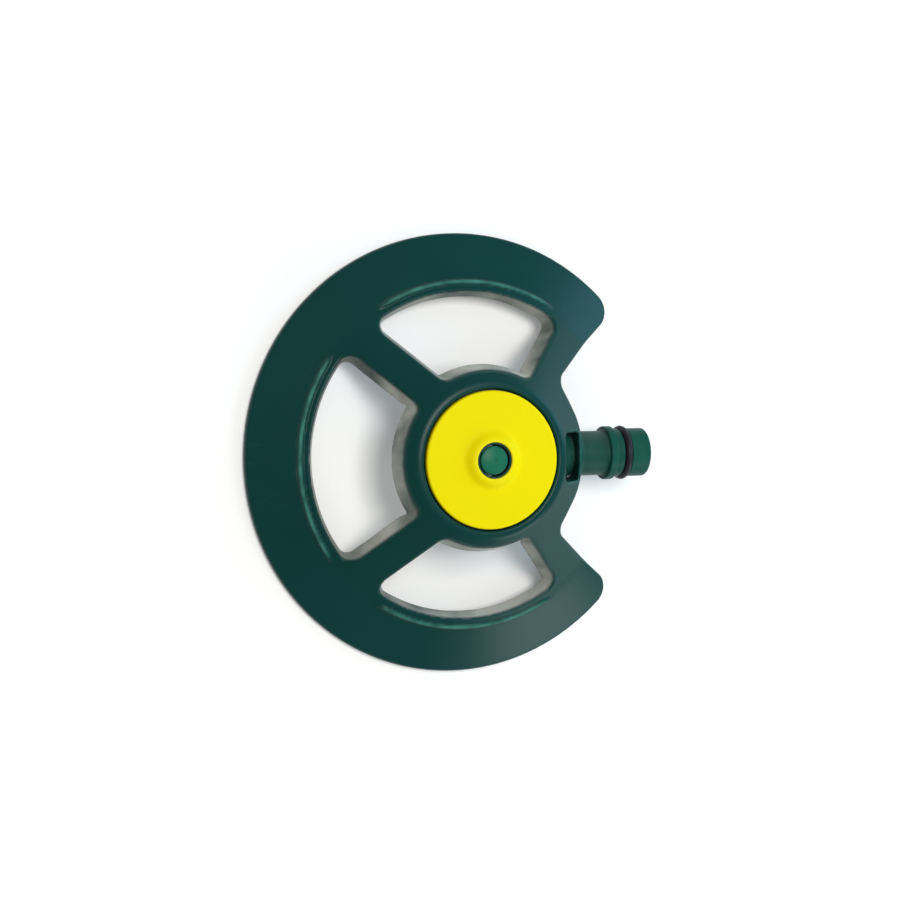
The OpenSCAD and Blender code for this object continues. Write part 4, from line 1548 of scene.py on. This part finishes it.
@dataclass
class Tower:
    """The water tower under the hub, with its socket, its ears and its bottom plug."""

    levels: Levels
    head_space: float = 1.1
    bore: float = 9.0
    socket_r: float = 9.1
    socket_end: float = 26.6
    socket_bore: float = 7.1
    socket_floor: float = 12.0
    passage: float = 5.0
    guide_step: float = 0.8
    guide_low: float = 1.2
    guide_high: float = 1.0
    ear_r: float = 3.2
    arm_share: float = 0.8
    arm_sunk: float = 1.0
    clip_reach: float = 8.1
    clip_low: float = 11.3
    clip_high: float = 4.1
    seal_drop: float = 0.4
    seal_cord: float = 0.75
    plug_head: float = 2.4
    plug_seal: float = 0.8
    plug_depth: float = 4.9
    plug_wall: float = 1.8
    plug_play: float = 0.1
    plug_neck: float = 1.0
    plug_floor: float = 0.8
    coin_half: float = 1.0
    coin_share: float = 0.7
    edge: float = 0.45
    ear_edge: float = 0.35
    fillet: float = 0.8
    ear_fillet: float = 0.5
    bore_edge: float = 0.3
    plug_edge: float = 0.6
    plug_tip: float = 0.5
    plug_soft: float = 0.4

    def outside(self, x: Array, y: Array, z: Array, r: Array) -> Array:
        """Distance to the tower with nothing bored out of it.

        Args:
            x: Distance along the hose axis.
            y: Distance to the left of it.
            z: Height.
            r: Distance from the middle.

        Returns:
            The distance, negative inside.
        """
        lv = self.levels
        height = between(z, lv.tower_foot, lv.dial_under - self.head_space)
        barrel = keep(r - lv.barrel_r, height, self.edge)
        along = np.hypot(y, z - lv.inlet)
        socket = keep(along - self.socket_r, between(x, self.bore, self.socket_end), self.edge)
        arm = np.abs(np.abs(x) - np.abs(y)) / math.sqrt(2) - self.ear_r * self.arm_share
        arm = keep(arm, between(r, lv.barrel_r - self.arm_sunk, lv.screw_circle))
        ear = np.minimum(lv.to_screw(x, y) - self.ear_r, arm)
        ears = keep(ear, between(z, lv.ears - lv.ear_t, lv.ears), self.ear_edge)
        return join(join(barrel, socket, self.fillet), ears, self.ear_fillet)

    def bores(self, x: Array, y: Array, z: Array, r: Array) -> Array:
        """Distance to everything bored out of the tower.

        Args:
            x: Distance along the hose axis.
            y: Distance to the left of it.
            z: Height.
            r: Distance from the middle.

        Returns:
            The distance, negative inside a bore.
        """
        lv = self.levels
        reach = self.passage
        ledge = between(z, lv.inlet - reach - self.guide_low, lv.inlet + reach + self.guide_high)
        barrel = keep(r - self.bore, -keep(ledge, self.bore - self.guide_step - r))
        along = np.hypot(y, z - lv.inlet)
        water = keep(along - reach, -x)
        socket = keep(along - self.socket_bore, self.socket_floor - x)
        hole = lv.to_screw(x, y) - lv.screw_hole + 0 * z
        clip = keep(between(x, lv.clip_x, lv.clip_x + lv.clip_t), np.abs(y) - self.clip_reach)
        clip = keep(clip, between(z, lv.inlet - self.clip_low, lv.inlet + self.clip_high))
        off = np.abs(z - lv.floor + self.seal_drop)
        depth = lv.barrel_r - 2 * self.seal_cord - lv.seat_fit
        groove = keep(depth - r, off - self.seal_cord - lv.groove_play)
        return reduce(np.minimum, (barrel, water, socket, hole, clip, groove))

    def field(self, x: Array, y: Array, z: Array) -> Array:
        """Distance to the tower."""
        r = np.hypot(x, y)
        return cut(self.outside(x, y, z, r), self.bores(x, y, z, r), self.bore_edge)

    def plug(self, x: Array, y: Array, z: Array) -> Array:
        """Distance to the bottom plug, a hollow cap with a coin slot.

        Args:
            x: Distance along the hose axis.
            y: Distance to the left of it.
            z: Height.

        Returns:
            The distance, negative inside.
        """
        lv = self.levels
        r = np.hypot(x, y)
        seat = lv.tower_foot - self.plug_seal
        head = keep(r - lv.barrel_r, between(z, seat - self.plug_head, seat), self.plug_edge)
        body_r = self.bore - self.plug_play
        height = between(z, seat - self.plug_neck, lv.tower_foot + self.plug_depth)
        body = keep(r - body_r, height, self.plug_tip)
        hollow = keep(r - body_r + self.plug_wall, lv.tower_foot + self.plug_floor - z, self.plug_soft)
        solid = cut(join(head, body), hollow, self.plug_soft)
        reach = lv.barrel_r * self.coin_share
        slot = keep(np.abs(y) - self.coin_half, np.abs(x) - reach, self.bore_edge)
        return cut(solid, keep(slot, z - seat + self.plug_head / 2), self.bore_edge)

    def build(self, palette: Palette) -> None:
        """Makes the tower and its plug.

        Args:
            palette: The materials.
        """
        lv = self.levels
        reach = lv.ear_reach + self.ear_r
        low, high = (-reach, -reach, lv.tower_foot), (self.socket_end, reach, lv.dial_under)
        skin = Mould(pitch=0.5).cast(self.field, low, high)
        palette.piece("tower_body", skin, TOWER_PLASTIC, Body.BASE, "water_tower")
        r = lv.barrel_r
        low = (-r, -r, lv.tower_foot - self.plug_seal - self.plug_head)
        high = (r, r, lv.tower_foot + self.plug_depth)
        skin = Mould(pitch=0.4).cast(self.plug, low, high)
        palette.piece("plug_body", skin, TOWER_PLASTIC, Body.BASE, "bottom_plug")


@dataclass
class ScrewSet:
    """Pan-head screws on a circle, point up, placed by a geometry-node tree.

    seat is the height of the undersides of the heads, and quads the number of quads across half a
    shank. Fields that end in _share are parts of the radius or height of the head, or of the shank.
    """

    name: str
    node: str
    body: Body
    circle: float
    count: int
    start_deg: float
    seat: float
    length: float
    shank: float
    head_r: float
    head_h: float
    recess: float
    thread_pitch: float
    recess_share: float = 0.6
    recess_depth_share: float = 0.45
    core_share: float = 0.90
    thread_share: float = 0.09
    point: float = 0.45
    rim_edge: float = 0.2
    fine: float = 0.15
    recess_edge: float = 0.08
    quads: int = 5
    seed: int = 4

    def screw(self, x: Array, y: Array, z: Array) -> Array:
        """Distance to one screw whose head seats at height 0.

        Args:
            x: Distance across the screw.
            y: Distance across it the other way.
            z: Height.

        Returns:
            The distance, negative inside.
        """
        r = np.hypot(x, y)
        dome = ball_cap(r, -z - self.head_h, self.head_r, self.head_h)
        head = keep(keep(r - self.head_r, -z - self.head_h), dome, self.rim_edge)
        head = keep(head, z, self.fine)
        near, far = np.minimum(np.abs(x), np.abs(y)), np.maximum(np.abs(x), np.abs(y))
        cross = keep(near - self.recess / 2, far - self.head_r * self.recess_share)
        head = cut(head, keep(cross, z + self.head_h * self.recess_depth_share), self.recess_edge)
        taper = np.maximum(z - self.length + 2 * self.shank, 0) * self.point
        wave = np.cos(2 * math.pi * (z / self.thread_pitch) - np.arctan2(y, x))
        thread = r + taper - self.shank * (self.core_share + self.thread_share * wave)
        shank = keep(keep(thread, z - self.length, self.fine), -z - self.head_h / 2)
        return join(head, shank, self.fine)

    def tree(self, material: bpy.types.Material) -> bpy.types.NodeTree:
        """Builds the tree that sets copies of a screw on a circle.

        Args:
            material: The material that the screws get.

        Returns:
            The geometry-node tree.
        """
        tree = bpy.data.node_groups.new(self.name + "_ring", "GeometryNodeTree")
        sockets = {"Screw": "Geometry", "Count": "Int", "Circle": "Float", "Start": "Float", "Seat": "Float"}
        for key, kind in sockets.items():
            tree.interface.new_socket(key, in_out="INPUT", socket_type="NodeSocket" + kind)
        tree.interface.new_socket("Screws", in_out="OUTPUT", socket_type="NodeSocketGeometry")
        w = Wiring(tree)
        given = w.add("NodeGroupInput").outputs
        ring = w.add("GeometryNodeMeshCircle", {"Vertices": given["Count"], "Radius": given["Circle"]})
        turn = w.add("ShaderNodeCombineXYZ", {"Z": given["Start"]})
        lift = w.add("ShaderNodeCombineXYZ", {"Z": given["Seat"]})
        placed = w.add("GeometryNodeTransform", {
            "Geometry": ring.outputs[0], "Translation": lift.outputs[0], "Rotation": turn.outputs[0],
        })
        limits = {"Min": (0.0, 0.0, 0.0), "Max": (0.0, 0.0, 2 * math.pi), "Seed": self.seed}
        spin = w.add("FunctionNodeRandomValue", limits, data_type="FLOAT_VECTOR")
        copies = w.add("GeometryNodeInstanceOnPoints", {
            "Points": placed.outputs[0], "Instance": given["Screw"], "Rotation": spin.outputs[0],
        })
        real = w.add("GeometryNodeRealizeInstances", {"Geometry": copies.outputs[0]})
        dressed = w.add("GeometryNodeSetMaterial", {"Geometry": real.outputs[0], "Material": material})
        w.add("NodeGroupOutput", {"Screws": dressed.outputs[0]})
        return tree

    def build(self, palette: Palette) -> None:
        """Makes the set as one mesh.

        Args:
            palette: The materials.
        """
        low = (-self.head_r, -self.head_r, -self.head_h)
        high = (self.head_r, self.head_r, self.length)
        skin = Mould(pitch=self.shank / self.quads, feel=0.3).cast(self.screw, low, high)
        mesh = mesh_of(self.name + "_one", skin)
        holder = set_down(self.name + "_holder", mesh)
        tree = self.tree(palette.materials[SCREW_STEEL.name])
        modifier = holder.modifiers.new("ring", "NODES")
        modifier.node_group = tree
        values = {
            "Count": self.count, "Circle": self.circle * MM,
            "Start": math.radians(self.start_deg), "Seat": self.seat * MM,
        }
        for item in tree.interface.items_tree:
            if item.name in values:
                modifier[item.identifier] = values[item.name]
        shown = holder.evaluated_get(bpy.context.evaluated_depsgraph_get())
        made = set_down(self.name, bpy.data.meshes.new_from_object(shown))
        bpy.data.objects.remove(holder)
        bpy.data.meshes.remove(mesh)
        palette.hand_over(made, SCREW_STEEL, self.body, self.node)


@dataclass(frozen=True)
class Lamp:
    """A soft square lamp: where it stands and its side in metres, its power in watts, its tone."""

    name: str
    place: tuple[float, float, float]
    side: float
    power: float
    tone: Colour

    def build(self) -> None:
        """Sets the lamp up, facing the sprinkler."""
        data = bpy.data.lights.new(self.name, "AREA")
        data.shape = "SQUARE"
        data.size = self.side
        data.energy = self.power
        data.color = self.tone
        lamp = set_down(self.name, data)
        lamp.location = self.place
        lamp.rotation_mode = "QUATERNION"
        lamp.rotation_quaternion = Vector(self.place).to_track_quat("Z", "Y")


@dataclass
class Studio:
    """Floor, lamps, background and camera.

    The camera's tilt and turn are in degrees and its distance in millimetres, middle is where the
    sprinkler's middle stands in the photograph's pixels, and the floor and its glow are in metres.
    """

    lamps: tuple[Lamp, ...] = (
        Lamp("key", (0.00, 0.22, 1.10), 0.45, 7.6, (1.0, 0.985, 0.96)),
        Lamp("side", (1.00, 0.35, 0.38), 0.60, 5.0, (0.35, 0.72, 1.0)),
        Lamp("low", (0.70, -0.78, 0.42), 0.50, 4.0, (0.90, 1.0, 1.0)),
    )
    tilt_deg: float = 20.57
    turn_deg: float = -11.66
    distance: float = 800.0
    pixels_per_mm: float = 3.1243
    middle: Spot = (454.2, 452.7)
    sensor: float = 36.0
    clip: Spot = (0.01, 20.0)
    sky: float = 0.3
    floor_reach: float = 8.0
    floor_z: float = -0.0001
    paper: Colour = (0.90, 0.90, 0.89)
    glow_from: float = 0.15
    glow_to: float = 0.9
    glow_near: float = 0.16

    def camera(self) -> None:
        """Sets the camera at the photograph's angle and framing."""
        tilt, turn = math.radians(self.tilt_deg), math.radians(self.turn_deg)
        out = math.sin(tilt)
        back = Vector((-out * math.cos(turn), -out * math.sin(turn), math.cos(tilt)))
        right = Vector((0, 1, 0)).cross(back).normalized()
        data = bpy.data.cameras.new("camera")
        data.sensor_width = self.sensor
        data.lens = self.pixels_per_mm * self.distance * self.sensor / PHOTO_SIDE
        data.shift_x = (PHOTO_SIDE / 2 - self.middle[0]) / PHOTO_SIDE
        data.shift_y = (self.middle[1] - PHOTO_SIDE / 2) / PHOTO_SIDE
        data.clip_start, data.clip_end = self.clip
        camera = set_down("camera", data)
        turned = Matrix((right, back.cross(right), back)).transposed().to_4x4()
        camera.matrix_world = Matrix.Translation(back * self.distance * MM) @ turned
        bpy.context.scene.camera = camera

    def world(self) -> None:
        """Makes a dim even world."""
        scene = bpy.context.scene
        scene.view_settings.view_transform = "Standard"
        scene.world = bpy.data.worlds.new("studio")
        w = Wiring.afresh(scene.world)
        light = w.add("ShaderNodeBackground", {"Color": (1, 1, 1, 1), "Strength": self.sky})
        w.add("ShaderNodeOutputWorld", {"Surface": light.outputs[0]})

    def floor_paper(self) -> bpy.types.Material:
        """Makes pale paper that keeps the shadow, and that looks whiter the further out it lies.

        Returns:
            The material.
        """
        material = bpy.data.materials.new("floor_paper")
        w = Wiring.afresh(material)
        paper = w.add("ShaderNodeBsdfDiffuse", {"Color": (*self.paper, 1)})
        place = w.add("ShaderNodeTexCoord").outputs["Object"]
        far = w.add("ShaderNodeVectorMath", {0: place}, operation="LENGTH").outputs["Value"]
        white = w.add("ShaderNodeMapRange", {
            "Value": far, "From Min": self.glow_from, "From Max": self.glow_to,
            "To Min": self.glow_near, "To Max": 1.0,
        }).outputs[0]
        path = w.add("ShaderNodeLightPath").outputs
        seen = w.maths("MAXIMUM", path["Is Camera Ray"], path["Is Glossy Ray"])
        seen = w.maths("MAXIMUM", seen, path["Is Transmission Ray"])
        glow = w.add("ShaderNodeEmission", {"Strength": w.maths("MULTIPLY", seen, white)})
        both = w.add("ShaderNodeAddShader", {0: paper.outputs[0], 1: glow.outputs[0]})
        w.add("ShaderNodeOutputMaterial", {"Surface": both.outputs[0]})
        return material

    def floor(self) -> None:
        """Lays the floor."""
        side, low = self.floor_reach, self.floor_z
        mesh = bpy.data.meshes.new("floor")
        corners = [(-side, -side, low), (side, -side, low), (side, side, low), (-side, side, low)]
        mesh.from_pydata(corners, [], [(0, 1, 2, 3)])
        mesh.materials.append(self.floor_paper())
        set_down("floor", mesh)

    def build(self) -> None:
        """Sets up the whole studio."""
        self.camera()
        for lamp in self.lamps:
            lamp.build()
        self.world()
        self.floor()


CARRIED = {
    "inlet_filter": FILTER_PLASTIC, "socket_seal": SEAL_RUBBER, "spigot_clip": SPRING_STEEL,
    "plug_seal": SEAL_RUBBER, "flow_guide": FILTER_PLASTIC, "pin_clip": SPRING_STEEL,
    "lift_nut": FILTER_PLASTIC, "dial_seal": SEAL_RUBBER, "slip_washer": FILTER_PLASTIC,
    "retaining_ring": SPRING_STEEL,
}


def tower_screws(levels: Levels) -> ScrewSet:
    """The four screws that hold the tower under the hub.

    Args:
        levels: The shared heights.

    Returns:
        The set, as long as the frame's.
    """
    seat = levels.ears - levels.ear_t
    return ScrewSet(
        "tower_screw_set", "tower_screws", Body.BASE, circle=levels.screw_circle, count=4,
        start_deg=45.0, seat=seat, length=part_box("tower_screws")[1].z / MM - seat, shank=1.5,
        head_r=2.8, head_h=2.0, recess=0.7, thread_pitch=1.1,
    )


def nut_screws(dial: Dial) -> ScrewSet:
    """The three screws that hold the lift nut to the dial.

    Args:
        dial: The dial, whose posts the screws sit in.

    Returns:
        The set, as long as the frame's.
    """
    low, high = (corner.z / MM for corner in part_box("nut_screws"))
    head_h = 1.0
    seat = low + head_h
    return ScrewSet(
        "nut_screw_set", "nut_screws", Body.DIAL, circle=dial.post_circle, count=dial.posts,
        start_deg=dial.first_post_deg, seat=seat, length=high - seat, shank=0.8,
        head_r=1.25, head_h=head_h, recess=0.4, thread_pitch=0.6,
    )


def main() -> None:
    """Builds the sprinkler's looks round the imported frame."""
    logging.basicConfig(level=logging.INFO, format="%(message)s")
    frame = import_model()
    Studio().build()
    palette = Palette()
    levels = Levels.from_frame()
    dial = Dial(levels)
    parts = (
        Base(levels),
        Spigot(levels, end_x=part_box("hose_spigot")[1].x / MM),
        dial,
        Pin(levels, low=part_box("nozzle_pin")[0].z / MM),
        Tower(levels),
        tower_screws(levels),
        nut_screws(dial),
    )
    for part in parts:
        part.build(palette)
    for node, finish in CARRIED.items():
        palette.dress_node(frame, node, finish)


if __name__ == "__main__":
    main()
